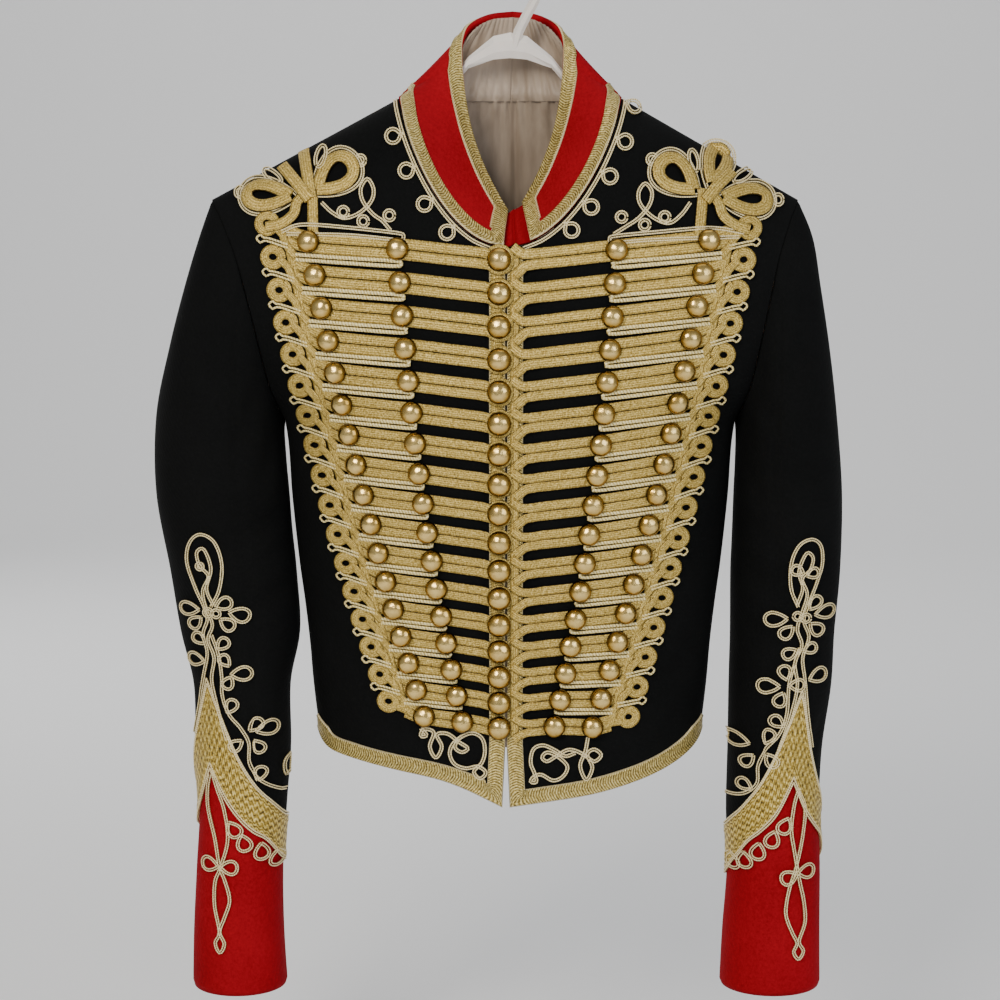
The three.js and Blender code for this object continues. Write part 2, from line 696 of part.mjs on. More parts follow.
// One piece of a sleeve, from ring place first to last, with the seams drawn apart.
function sleevePiece(side, first, last) {
  const whole = sleevePoints(side);
  const rings = whole.length / RING_POINTS;
  const tube = gridQuads(rings, RING_POINTS, true);
  const normals = vertexNormals(whole, side === 'left' ? flipped(tube) : tube);
  const columns = last - first + 1;
  const points = [];
  for (let ring = 0; ring < rings; ring += 1) {
    for (let i = first; i <= last; i += 1) {
      const place = (j) => whole[ring * RING_POINTS + (j + RING_POINTS) % RING_POINTS];
      const point = place(i).clone();
      if (i === first) point.addScaledVector(place(i + 1).clone().sub(point).normalize(), SEAM_GAP);
      if (i === last) point.addScaledVector(place(i - 1).clone().sub(point).normalize(), SEAM_GAP);
      points.push(point);
    }
  }
  let quads = gridQuads(rings, columns, false);
  if (side === 'left') quads = flipped(quads);
  const inward = (i) => {
    const ring = Math.floor(i / columns);
    const place = (first + i % columns + RING_POINTS) % RING_POINTS;
    const normal = normals[ring * RING_POINTS + place];
    if (ring === 0) return seamInward(side, points[i], normal);
    return ring === rings - 1 ? intoSleeve(side, place, points[i].z) : normal.clone().negate();
  };
  return wall(points, quads, CLOTH, inward);
}

function cuff(side) {
  const points = [];
  for (let row = 0; row <= CUFF_ROWS; row += 1) {
    for (let i = 0; i < RING_POINTS; i += 1) {
      const z = lerp(cuffSeam(side, i) - CUFF_SEAM_GAP, CUFF_END, row / CUFF_ROWS);
      points.push(lowSleevePoint(side, ringAngle(i), z));
    }
  }
  let quads = gridQuads(CUFF_ROWS + 1, RING_POINTS, true);
  if (side === 'left') quads = flipped(quads);
  return wall(points, quads, CLOTH, (i) => intoSleeve(side, i % RING_POINTS, points[i].z));
}

function cuffLace(side) {
  const points = [];
  const edges = [0, 0.5, 1];
  edges.forEach((part) => {
    for (let i = 0; i < RING_POINTS; i += 1) {
      const z = cuffLaceHeight(side, i, part);
      points.push(lowSleevePoint(side, ringAngle(i), z, CUFF_LAY + LACE));
    }
  });
  let quads = gridQuads(edges.length, RING_POINTS, true);
  if (side === 'left') quads = flipped(quads);
  return wall(points, quads, LACE);
}

// ---- collar ----------------------------------------------------------------------------

const collarTop = {
  out: curve(COLLAR_TOP, 'angle', 'out'),
  y: curve(COLLAR_TOP, 'angle', 'y'),
  z: curve(COLLAR_TOP, 'angle', 'z'),
};

const NECK_ANGLES = [90, 68, 48, 30, 16, 6, 0];

// Foot of the collar on the neckline, which runs straight between the rows of the cloth.
function collarFoot(side, angle) {
  const face = angle >= 0 ? 'front' : 'back';
  const steps = face === 'front' ? NECK_ANGLES : [90, 62, 36, 14, 0];
  const turn = clamp(Math.abs(angle), 0, 90);
  const i = clamp(steps.findIndex((step) => step <= turn) - 1, 0, steps.length - 2);
  const at = (step, lift) => {
    const place = necklinePlace(face, side, step);
    return bodyPoint(face, side, place.out, place.z, lift);
  };
  const part = (steps[i] - turn) / (steps[i] - steps[i + 1]);
  const along = at(steps[i + 1], 0).sub(at(steps[i], 0));
  const point = at(steps[i], 0).lerp(at(steps[i + 1], 0), part);
  const normal = at(steps[i], 1).lerp(at(steps[i + 1], 1), part).sub(point);
  return { point, away: along.cross(normal).normalize() };
}

// A point of the collar's middle sheet, before it is drawn up off the seam.
function collarBase(side, angle, rise) {
  const x = COLLAR_SHIFT + signOf(side) * collarTop.out(angle);
  const top = vec(x, collarTop.y(angle), collarTop.z(angle));
  return collarFoot(side, angle).point.lerp(top, rise);
}

// A point of the collar: angle as in its table, rise from the seam (0) to the free edge (1).
// The foot is drawn up until both faces of the collar clear the edge of the neckline.
function collarPoint(side, angle, rise, out = 0) {
  const { point: foot, away } = collarFoot(side, angle);
  const top = collarBase(side, angle, 1);
  const slope = top.clone().sub(foot).normalize();
  if (away.dot(slope) < 0) away.negate();
  const ahead = collarBase(side, Math.max(angle - 1, -90), rise);
  const behind = collarBase(side, Math.min(angle + 1, 90), rise);
  const normal = ahead.sub(behind).cross(slope).normalize().multiplyScalar(signOf(side));
  if (Math.abs(angle) === 90) normal.setX(0).normalize();
  const clear = SEAM_GAP + COLLAR_WALL / 2 * Math.abs(normal.dot(away));
  foot.addScaledVector(slope, Math.min(clear / Math.max(slope.dot(away), 0.35), 4));
  const bulge = COLLAR_BULGE * 4 * rise * (1 - rise);
  return foot.lerp(top, rise).addScaledVector(normal, out + bulge);
}

const COLLAR_ANGLES = [68, 48, 30, 16, 6, 0, -14, -36, -62];

// Places round the collar, from the wearer's right front end over the back to the left
// one. The ends are drawn back by inset, with one more place after them if a strip is given.
function collarStations(inset = 0, strip = 0) {
  const half = (side) => {
    const ends = strip ? [inset, inset + strip] : [inset];
    const front = ends.map((back) => COLLAR_FRONT_ANGLE[side] - back);
    const rest = COLLAR_ANGLES.filter((angle) => angle < front[front.length - 1] - 3);
    return [...front, ...rest].map((angle) => [side, angle]);
  };
  return [...half('left'), ['left', -90], ...half('right').reverse()];
}

function collarSheet(stations, rises, out) {
  return rises.flatMap((rise) => stations.map(([side, angle]) => collarPoint(side, angle, rise, out)));
}

function collar() {
  const stations = collarStations();
  const rises = [0, 0.33, 0.67, 1];
  const points = collarSheet(stations, rises, COLLAR_WALL / 2);
  return wall(points, flipped(gridQuads(rises.length, stations.length, false)), COLLAR_WALL);
}

function collarLining() {
  const stations = collarStations(14);
  const rises = [0.08, 0.5, 0.97];
  const points = collarSheet(stations, rises, -COLLAR_WALL / 2 - 1.8 * COLLAR_LAY);
  return wall(points, flipped(gridQuads(rises.length, stations.length, false)), LINING);
}

// Lace round the red of the collar: along the seam, the free edge and both front ends.
function collarLace() {
  const stations = collarStations(1, 12);
  const rises = [0.02, 0.2, 0.77, 0.99];
  const all = collarSheet(stations, rises, COLLAR_WALL / 2 + 1.35 * COLLAR_LAY + LACE);
  const isFrame = (row, column) => row !== 1 || column === 0 || column === stations.length - 2;
  const { points, quads } = compact(all, gridQuads(rises.length, stations.length, false, isFrame));
  return wall(points, flipped(quads), LACE);
}

// ---- linings, under-tab ----------------------------------------------------------------

// Rows of the back lining, on the back's own rows and columns.
const LINING_ROWS = [
  { side: -286, back: -217 },
  { side: -262, back: -178 },
  { side: -242, back: -143 },
  { side: -229, back: -131 },
];
const LINING_CELLS = 4;
const LINING_LAY = 1.3; // between the back and its lining

function backLining() {
  const points = [];
  LINING_ROWS.forEach((row) => {
    for (let i = -LINING_CELLS; i <= LINING_CELLS; i += 1) {
      const side = i < 0 ? 'left' : 'right';
      const { out, z } = rowPlace('back', side, row, Math.abs(i) / BACK_CELLS);
      points.push(bodyPoint('back', side, out, z, -CLOTH - LINING_LAY));
    }
  });
  return wall(points, flipped(gridQuads(LINING_ROWS.length, 2 * LINING_CELLS + 1, false)), LINING);
}

// The red under-tab, which fills the notch between the collar's front ends.
function underTab() {
  const rises = [0.1, 0.5, 0.96];
  const under = -COLLAR_WALL / 2 - 2.9;
  const points = rises.flatMap((rise) => {
    const from = collarPoint('left', COLLAR_FRONT_ANGLE.left - 3, rise, under);
    const to = collarPoint('right', COLLAR_FRONT_ANGLE.right - 3, rise, under);
    return [0, 0.5, 1].map((across) => from.clone().lerp(to, across));
  });
  return wall(points, gridQuads(rises.length, 3, false), CLOTH);
}

// ---- lace on the hem and the front edges -----------------------------------------------

function hemRow(face, side, cells, height) {
  const low = CLOTH_ROWS[0];
  const places = [];
  for (let i = 0; i <= cells; i += 1) {
    const { out, z } = rowPlace(face, side, low, i / cells);
    const edge = i === cells ? -0.4 : 0;
    places.push(bodyPoint(face, side, out + edge, z + height, LAY + LACE));
  }
  return places;
}

// The hem lace of one front, turned up along the front edge as far as the neck.
function frontLace(side) {
  const cells = FRONT_CELLS;
  const seam = keepOffSeam(-1);
  const hem = [1, HEM_LACE].map((height) => hemRow('front', side, cells, height).map(seam));
  const columns = cells + 2;
  const points = [];
  const corner = (z, width) => bodyPoint('front', side, closingOut(side, z) + width, z, LAY + LACE);
  hem.forEach((row, index) => {
    const z = CLOTH_ROWS[0].front + [1, HEM_LACE][index];
    points.push(corner(z, 0.6), corner(z + 1.5, FRONT_LACE), ...row.slice(1));
  });
  const quads = gridQuads(2, columns, false);
  const heights = CLOTH_ROWS.slice(1, NECK_FRONT_ROW).map((row) => row.front);
  [...heights, -233 - 4].forEach((z, index) => {
    const start = points.length;
    points.push(corner(z, 0.6), corner(z, FRONT_LACE));
    const below = index === 0 ? columns : start - 2;
    quads.push([below, below + 1, start + 1, start]);
  });
  return wall(points, side === 'left' ? flipped(quads) : quads, LACE);
}

function backHemLace() {
  const seam = keepOffSeam(1);
  const rows = [1, HEM_LACE].map((height) => {
    const left = hemRow('back', 'left', BACK_CELLS, height).map(seam);
    const right = hemRow('back', 'right', BACK_CELLS, height).map(seam);
    return [...left.reverse(), ...right.slice(1)];
  });
  return wall(rows.flat(), flipped(gridQuads(2, rows[0].length, false)), LACE);
}

// ---- frogging rows ---------------------------------------------------------------------

// Where row i meets a column: a parabola through its top, middle and bottom place.
function froggingPlace(side, name, i) {
  const { top, middle, bottom } = FROGGING[side].find((column) => column.name === name);
  const t = i / (ROWS - 1);
  const blend = (k) => (
    top[k] * (1 - t) * (1 - 2 * t) + middle[k] * 4 * t * (1 - t) + bottom[k] * t * (2 * t - 1));
  return { out: blend(0), z: blend(1) };
}

// Section of a bar of braid: across it (-1 to 1) and share of its thickness.
const BAR = [[-1, 0], [1, 0], [1, 1], [-1, 1]];

const onFront = (side) => (out, z, lift) => bodyPoint('front', side, out, z, lift);

// Rings of points along a bar of braid. place(out, z, lift) gives points of the cloth.
function barRings(place, stations) {
  return stations.map((station, index) => {
    const before = stations[Math.max(index - 1, 0)];
    const after = stations[Math.min(index + 1, stations.length - 1)];
    const run = new THREE.Vector2(after.out - before.out, after.z - before.z).normalize();
    return BAR.map(([across, up]) => {
      const shift = across * station.half;
      const lift = LAY + station.lift + up * BRAID;
      return place(station.out - run.y * shift, station.z + run.x * shift, lift);
    });
  });
}

// A flat braid along a short list of places, [distance from the middle, height].
function strip(place, route, half, lift = 0) {
  return loft(barRings(place, route.map(([out, z]) => ({ out, z, half, lift }))));
}

// A flat braid that closes on itself: an ellipse about its centre, leaning by lean.
function loop(place, { out, z, wide, tall, lean = 0, half, sides = 7, lift = 0 }) {
  const turnBy = radians(lean);
  const rings = [];
  for (let i = 0; i < sides; i += 1) {
    const turn = 2 * Math.PI * i / sides;
    const at = (grow, up) => {
      const a = (wide + grow) * Math.cos(turn);
      const b = (tall + grow) * Math.sin(turn);
      const across = a * Math.cos(turnBy) - b * Math.sin(turnBy);
      return place(out + across, z + a * Math.sin(turnBy) + b * Math.cos(turnBy), LAY + lift + up);
    };
    rings.push([at(-half, 0), at(half, 0), at(half, BRAID), at(-half, BRAID)]);
  }
  return loft(rings, true);
}

// The flat ring at the end of a bar. Side 0 of its rim is left open, facing the bar, and
// the four corners of that side come first.
function endRing(side, centre, from) {
  const facing = Math.atan2(from.z - centre.z, from.out - centre.out);
  const points = [];
  for (let i = 0; i < RING_SIDES; i += 1) {
    const turn = facing + 2 * Math.PI * (i - 0.5) / RING_SIDES;
    [[RING_OUTER, 0], [RING_OUTER, BRAID], [RING_HOLE, BRAID], [RING_HOLE, 0]].forEach(([radius, up]) => {
      points.push(bodyPoint('front', side, centre.out + radius * Math.cos(turn),
        centre.z + radius * Math.sin(turn), LAY + up));
    });
  }
  const triangles = [];
  for (let i = 0; i < RING_SIDES; i += 1) {
    for (let k = i === 0 ? 1 : 0; k < 4; k += 1) {
      const a = 4 * i;
      const b = 4 * ((i + 1) % RING_SIDES);
      const l = (k + 1) % 4;
      triangles.push([a + k, b + k, b + l], [a + k, b + l, a + l]);
    }
  }
  return { points, triangles };
}

// A bar of braid whose end grows into the ring.
function barWithRing(side, stations, centre) {
  const rings = barRings(onFront(side), stations);
  const ring = endRing(side, centre, stations[stations.length - 1]);
  // The open side of the ring, in the order of the bar's section.
  rings.push([ring.points[4], ring.points[0], ring.points[1], ring.points[5]]);
  const bar = loft(rings);
  const last = 4 * (rings.length - 1);
  const place = new Map([[4, last], [0, last + 1], [1, last + 2], [5, last + 3]]);
  const points = [...bar.points];
  ring.points.forEach((point, i) => {
    if (!place.has(i)) {
      place.set(i, points.length);
      points.push(point);
    }
  });
  const endCap = (triangle) => triangle.every((i) => i >= last);
  const open = bar.triangles.filter((triangle) => !endCap(triangle));
  const edge = open.flatMap(([a, b, c]) => [[a, b], [b, c], [c, a]]).find(([a, b]) => (
    Math.min(a, b) === last && Math.max(a, b) === last + 1));
  let rest = ring.triangles.map((triangle) => triangle.map((i) => place.get(i)));
  const sameWay = rest.some(([a, b, c]) => [[a, b], [b, c], [c, a]].some(([p, q]) => (
    p === edge[0] && q === edge[1])));
  if (sameWay) rest = rest.map(([a, b, c]) => [a, c, b]);
  return { points, triangles: [...open, ...rest] };
}

// A ball button: a low dome that stands on its shank.
function button(side, centre, lift) {
  const foot = bodyPoint('front', side, centre.out, centre.z, lift);
  const axis = bodyPoint('front', side, centre.out, centre.z, lift + 10).sub(foot).normalize();
  const across = vec(0, 0, 1).cross(axis).normalize();
  const up = axis.clone().cross(across);
  const level = (sides, radius, height) => {
    const ring = [];
    for (let i = 0; i < sides; i += 1) {
      const turn = 2 * Math.PI * (i + 0.25) / sides;
      ring.push(foot.clone().addScaledVector(across, radius * Math.cos(turn))
        .addScaledVector(up, radius * Math.sin(turn)).addScaledVector(axis, height));
    }
    return ring;
  };
  const shank = loft([level(SHANK_SIDES, SHANK_RADIUS, -1), level(SHANK_SIDES, SHANK_RADIUS, 1.4)]);
  const rim = level(BUTTON_SIDES, BUTTON_RADIUS, SEAM_GAP);
  const crown = level(BUTTON_SIDES, 0.76 * BUTTON_RADIUS, 0.72 * BUTTON_HEIGHT);
  const points = [...rim, ...crown, foot.clone().addScaledVector(axis, BUTTON_HEIGHT)];
  const triangles = [];
  for (let i = 0; i < BUTTON_SIDES; i += 1) {
    const j = (i + 1) % BUTTON_SIDES;
    triangles.push([i, j, BUTTON_SIDES + j], [i, BUTTON_SIDES + j, BUTTON_SIDES + i]);
    triangles.push([BUTTON_SIDES + i, BUTTON_SIDES + j, 2 * BUTTON_SIDES]);
    if (i > 0 && i < BUTTON_SIDES - 1) triangles.push([0, i + 1, i]);
  }
  return [shank, outward({ points, triangles })];
}

function froggingRow(side, i) {
  const centre = froggingPlace(side, 'centre', i);
  const inner = froggingPlace(side, 'inner', i);
  const outer = froggingPlace(side, 'outer', i);
  const ring = froggingPlace(side, 'ring', i);
  const next = froggingPlace(side, 'inner', i + 1);
  const full = 0.47 * (inner.z - next.z) - 0.6;
  const overLace = LACE + 2 * SEAM_GAP;
  const on = (a, b, t) => ({ out: lerp(a.out, b.out, t), z: lerp(a.z, b.z, t) });
  const start = side === 'left' ? closingOut(side, centre.z) + 0.5 : centre.out;
  const lapped = FRONT_LACE + closingOut(side, centre.z);
  const beside = (out) => on(centre, inner, (out - centre.out) / (inner.out - centre.out));
  const stations = [
    { ...beside(start), half: BAR_HALF, lift: overLace },
    { ...beside(lapped + 1), half: BAR_HALF, lift: overLace },
    { ...beside(lapped + 5), half: BAR_HALF, lift: 0 },
    { ...on(centre, inner, 0.94), half: BAR_HALF, lift: 0 },
    { ...on(inner, outer, 0.1), half: full, lift: 0 },
    ...(i < LONG_ROWS ? [{ ...on(inner, outer, 0.55), half: full, lift: 0 }] : []),
    { ...on(inner, outer, 1.04), half: full, lift: 0 },
    { ...on(outer, ring, 0.55), half: 0.8 * BAR_HALF, lift: 0 },
  ];
  const top = LAY + BRAID;
  const parts = [barWithRing(side, stations, ring)];
  parts.push(...button(side, inner, top), ...button(side, outer, top));
  if (side === 'left') parts.push(...button(side, centre, top + overLace));
  return joined(parts);
}

// ---- knots and cords -------------------------------------------------------------------

// Shoulder knots: petals of flat braid over a stem, and two ends that run up to the seam.
const SHOULDER_KNOT = {
  left: {
    petals: [
      { out: 132.5, z: -182, wide: 12.5, tall: 13, lean: -20 },
      { out: 178, z: -194, wide: 20, tall: 6.5, lean: -8 },
    ],
    stem: [[148.5, -214], [148.5, -204], [149, -186]],
    ends: [[[149.5, -198], [152, -180], [156, -167]], [[152, -200], [163, -186], [173, -178]]],
  },
  right: {
    petals: [
      { out: 127, z: -182, wide: 12.5, tall: 12, lean: 20 },
      { out: 177, z: -196.5, wide: 20, tall: 6.5, lean: -8 },
    ],
    stem: [[143.5, -213], [144, -204], [145, -184]],
    ends: [[[145, -198], [150, -180], [155, -168]], [[149, -200], [159, -188], [168, -179]]],
  },
};
const PETAL_HALF = 4; // half the width of the braid round a petal
const OVER = 0.5; // how much higher a strand lies where it crosses another

function shoulderKnot(side) {
  const { petals, stem, ends } = SHOULDER_KNOT[side];
  const place = onFront(side);
  const loops = petals.map((petal, i) => loop(place, { ...petal, half: PETAL_HALF, lift: (i + 1) * OVER }));
  const up = ends.map((route, i) => strip(place, route, 4, (i + 3) * OVER));
  return joined([strip(place, stem, 5), ...loops, ...up]);
}

// Cord scrolls in the bottom corner of each front.
const CORNER_SCROLL = {
  left: [
    { out: 33.5, z: -615.5, wide: 11, tall: 9.5, half: 1.9 },
    { out: 51.5, z: -615.5, wide: 8, tall: 9.5, lean: 12, half: 1.9, sides: 6, lift: OVER },
  ],
  right: [
    { out: 30, z: -626, wide: 14, tall: 9.5, lean: -25, half: 1.9 },
    { out: 56, z: -624, wide: 12.5, tall: 10, lean: 20, half: 1.9, sides: 6, lift: OVER },
  ],
};

const cornerScroll = (side) => joined(CORNER_SCROLL[side].map((one) => loop(onFront(side), one)));

// Sleeve knots: a tall loop, a trunk down to the point of the cuff lace, leaves and rings,
// and a strand that follows the lace's upper edge.
const SLEEVE_KNOT = {
  left: {
    loops: [
      { out: 233.5, z: -477, wide: 12.5, tall: 26, half: 1.8, sides: 9 },
      { out: 242, z: -514, wide: 6.5, tall: 6.5, half: 1.8, sides: 6, lift: OVER },
      { out: 218, z: -514, wide: 9, tall: 6.5, half: 1.8, sides: 6, lift: 2 * OVER },
      { out: 218, z: -556, wide: 10, tall: 6, half: 1.8, sides: 6, lift: OVER },
      { out: 198, z: -606, wide: 9, tall: 5, half: 1.8, sides: 6, lift: OVER },
    ],
    trunk: [[229, -503], [231, -535], [232.5, -566]],
    strand: [[227, -541], [223, -568], [213, -591], [204, -608], [200, -634], [184, -650]],
  },
  right: {
    loops: [
      { out: 226.5, z: -479, wide: 12, tall: 25, half: 1.8, sides: 9 },
      { out: 234.5, z: -519, wide: 7.5, tall: 6.5, half: 1.8, sides: 6, lift: OVER },
      { out: 209, z: -522, wide: 9, tall: 6.5, half: 1.8, sides: 6, lift: 2 * OVER },
      { out: 208, z: -565, wide: 9, tall: 6, half: 1.8, sides: 6, lift: OVER },
      { out: 189, z: -618, wide: 9, tall: 5, half: 1.8, sides: 6, lift: OVER },
    ],
    trunk: [[222, -504], [222.5, -538], [223, -574]],
    strand: [[218.5, -551], [214, -568], [211, -597], [197, -619], [191, -645], [176, -657]],
  },
};

// A place on the front of a sleeve; the sleeve carries it where it is as wide as that.
function onSleeve(side) {
  return (out, z, lift) => {
    const column = sleeveColumns[side];
    const half = (column.out(z) - column.in(z)) / 2;
    const middle = (column.out(z) + column.in(z)) / 2;
    return lowSleevePoint(side, Math.acos(clamp((out - middle) / half, -1, 1)), z, lift);
  };
}

function sleeveKnot(side) {
  const { loops, trunk, strand } = SLEEVE_KNOT[side];
  const place = onSleeve(side);
  const round = loops.map((one) => loop(place, one));
  return joined([strip(place, trunk, 4.2, 3 * OVER), ...round, strip(place, strand, 2, 4 * OVER)]);
}

// ---- hanger ----------------------------------------------------------------------------

const HOOK_RADIUS = 20; // inside of the hook
const HOOK_WIRE = 4.3; // radius of the moulded hook
const HANGER_ARM = [ // middle line of an arm, from the middle out, with half its section
  { out: 0, y: 13, z: -81.5, tall: 10.5, deep: 4.4 },
  { out: 13, y: 13.4, z: -83.5, tall: 9.6, deep: 4.4 },
  { out: 32, y: 16, z: -94.5, tall: 4.8, deep: 4.2 },
  { out: 43, y: 16.5, z: -107.5, tall: 4.4, deep: 4.2 },
  { out: 62, y: 12, z: -124, tall: 6.2, deep: 5.2 },
  { out: 84, y: 5, z: -139.5, tall: 7, deep: 6 },
  { out: 140, y: 1, z: -163, tall: 7, deep: 7 },
  { out: 190, y: 0, z: -191.2, tall: 6, deep: 6 },
  { out: 197, y: 0, z: -196, tall: 3.5, deep: 4 },
];
const HOOK_STEM = [ // from the middle of the hanger up to the bend of the hook
  { x: 3, y: 13, z: -84 },
  { x: 6.5, y: 11, z: -71 },
  { x: 12, y: 7, z: -60 },
  { x: 19, y: 2.5, z: -47.5 },
  { x: 23.4, y: 0, z: -34 },
];

function tubeRing(centre, across, up, a, b, sides) {
  const ring = [];
  for (let i = 0; i < sides; i += 1) {
    const turn = 2 * Math.PI * (i + 0.5) / sides;
    ring.push(centre.clone().addScaledVector(across, a * Math.cos(turn))
      .addScaledVector(up, b * Math.sin(turn)));
  }
  return ring;
}

function hanger() {
  const arms = [...HANGER_ARM.slice(1).reverse().map((row) => ({ ...row, out: -row.out })), ...HANGER_ARM];
  const bar = loft(arms.map(({ out, y, z, tall, deep }) => (
    tubeRing(vec(out, y, z), vec(0, 1, 0), vec(0, 0, 1), deep, tall, 8))));
  const middle = HOOK_RADIUS + HOOK_WIRE;
  const path = HOOK_STEM.map(({ x, y, z }) => vec(x, y, z));
  for (let turn = 0; turn <= 200; turn += 25) {
    path.push(vec(middle * Math.cos(radians(turn)), 0, -HOOK_RADIUS + middle * Math.sin(radians(turn))));
  }
  const hook = loft(path.map((point, i) => {
    const before = path[Math.max(i - 1, 0)];
    const after = path[Math.min(i + 1, path.length - 1)];
    const run = after.clone().sub(before).normalize();
    return tubeRing(point, vec(0, 1, 0), run.cross(vec(0, 1, 0)), HOOK_WIRE, HOOK_WIRE, 8);
  }));
  return joined([bar, hook]);
}

// ---- the object ------------------------------------------------------------------------

const TOP_SLEEVE = [-6, 6];
const UNDER_SLEEVE = [6, 14];

['left', 'right'].forEach((side) => {
  add(`front_${side}`, front(side), COLOURS.wool, 0.9);
  add(`top_sleeve_${side}`, sleevePiece(side, ...TOP_SLEEVE), COLOURS.wool, 0.9);
  add(`under_sleeve_${side}`, sleevePiece(side, ...UNDER_SLEEVE), COLOURS.wool, 0.9);
  add(`cuff_${side}`, cuff(side), COLOURS.red, 0.85);
  add(`cuff_lace_${side}`, cuffLace(side), COLOURS.lace, 0.4, 0.6);
  add(`shoulder_knot_${side}`, shoulderKnot(side), COLOURS.gold, 0.45, 0.5);
  add(`sleeve_knot_${side}`, sleeveKnot(side), COLOURS.paleGold, 0.5, 0.4);
  add(`corner_scroll_${side}`, cornerScroll(side), COLOURS.paleGold, 0.5, 0.4);
  add(`front_lace_${side}`, frontLace(side), COLOURS.lace, 0.4, 0.6);
  for (let i = 0; i < ROWS; i += 1) {
    add(`frogging_${side}_${i + 1}`, froggingRow(side, i), COLOURS.gold, 0.45, 0.5);
  }
});
add('back', back(), COLOURS.wool, 0.9);
add('hem_lace_back', backHemLace(), COLOURS.lace, 0.4, 0.6);
add('collar', collar(), COLOURS.red, 0.85);
add('collar_lace', collarLace(), COLOURS.lace, 0.4, 0.6);
add('collar_lining', collarLining(), COLOURS.satin, 0.4);
add('back_lining', backLining(), COLOURS.satin, 0.4);
add('under_tab', underTab(), COLOURS.red, 0.85);
add('hanger', hanger(), COLOURS.white, 0.35);

export default model;
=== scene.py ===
import math
from functools import lru_cache

import bpy
import numpy as np
from bpy.props import FloatProperty, FloatVectorProperty, PointerProperty
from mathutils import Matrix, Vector
from mathutils.bvhtree import BVHTree


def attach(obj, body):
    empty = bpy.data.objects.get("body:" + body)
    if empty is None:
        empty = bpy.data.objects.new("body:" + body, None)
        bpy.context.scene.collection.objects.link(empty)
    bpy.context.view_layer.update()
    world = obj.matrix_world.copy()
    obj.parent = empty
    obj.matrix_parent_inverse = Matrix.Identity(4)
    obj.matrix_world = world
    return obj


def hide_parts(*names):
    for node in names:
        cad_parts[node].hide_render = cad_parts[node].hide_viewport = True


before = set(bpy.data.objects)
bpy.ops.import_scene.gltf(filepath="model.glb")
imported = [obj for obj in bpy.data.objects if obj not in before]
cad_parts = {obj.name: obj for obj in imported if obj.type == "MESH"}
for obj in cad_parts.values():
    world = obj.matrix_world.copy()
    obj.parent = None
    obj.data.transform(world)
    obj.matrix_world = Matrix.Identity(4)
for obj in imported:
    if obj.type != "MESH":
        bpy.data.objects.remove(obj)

bl_info = {
    "name": "Cropped hussar jacket",
    "version": (1, 0, 0),
    "blender": (4, 5, 0),
    "location": "View3D > Sidebar > Jacket",
    "description": "Builds a cropped jacket with frogging, knots, laces and a hanger",
    "category": "Add Mesh",
}

MM = 0.001
BODY = "root"
SIDES = ("left", "right")

# ---- the cut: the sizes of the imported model, in millimetres ------------------------------

NECK_HALF = 85.0
NECK_TOP = -122.0
NECK_DROP = 111.0
NECK_BACK_RISE = 4.0
SHOULDER_Z = -199.0
SHOULDER_HALF = {"left": 229.0, "right": 221.0}
SHOULDER_ROUND = 90.0
CLOSING_X = -3.2
CLOSING_GAP = 0.35
CLOSING_FLARE = 2.4
# The fronts start to part at this height, over this length.
FLARE_TOP = -610
FLARE_LENGTH = 50
ARMPIT_Z = -370.0
# Power of the superellipse that the body is in section.
FULLNESS = 2.6
NECK_CURVE = 1.55
# Over this height above the armpit the rows of the cloth straighten.
STRAIGHTEN = 110
# The fronts' hem is eased up below this height, over this length.
EASE_TOP = -520
EASE_LENGTH = 92
ROWS = 17
RING_PLACES = 20
CUFF_END = -812.0
# Way round a sleeve, for its folds and seams.
SLEEVE_ROUND = 288
SLEEVE_SEAMS = (6, 14)
SEAM_GAP = 0.3


def table(names, *rows):
    """A list of rows with named columns."""
    return [dict(zip(names.split(), row)) for row in rows]


BODY_TABLE = table(
    "z half front back",
    (-690, 138, 63, 47), (-650, 142, 63, 47), (-612, 150, 62, 47), (-575, 154.5, 60, 46),
    (-543, 157, 59, 48), (-511, 160.5, 60, 51), (-480, 164.5, 62, 54), (-430, 169.5, 65, 58),
    (-370, 174.5, 67, 62), (-355, 184, 67, 62.6), (-340, 199, 67, 63), (-300, 224, 64, 63),
    (-262, 240, 59, 61), (-230, 248, 55, 59), (-199, 254, 54, 57), (-110, 258, 54, 53),
)
ARMHOLE_TABLE = table(
    "z out",
    (-370, 174.5), (-340, 184), (-286, 196), (-242, 207), (-213, 218), (-204, 222.7), (-199, 226),
)
# side: height on the side seam or armhole; front, back: heights on the middle lines, and
# above them angles along the neckline.
CLOTH_ROWS = table(
    "side front back front_angle back_angle",
    (-612, -662, -640, 90, 90), (-580, -625, -605, 90, 90), (-546, -586, -567, 90, 90),
    (-511, -546, -527, 90, 90), (-476, -505, -485, 90, 90), (-441, -461, -440, 90, 90),
    (-405, -416, -394, 90, 90), (-370, -370, -348, 90, 90), (-340, -331, -303, 90, 90),
    (-312, -294, -259, 90, 90), (-286, -262, -217, 90, 90), (-262, -233, -178, 90, 90),
    (-242, 0, -143, 68, 90), (-226, 0, -118, 48, 90), (-213, 0, 0, 30, 62),
    (-204.5, 0, 0, 16, 36), (-200.3, 0, 0, 6, 14), (-199, 0, 0, 0, 0),
)
NECK_ROW = {"front": 11, "back": 13}
ARMPIT_ROW = 7
TIP_ROW = 17
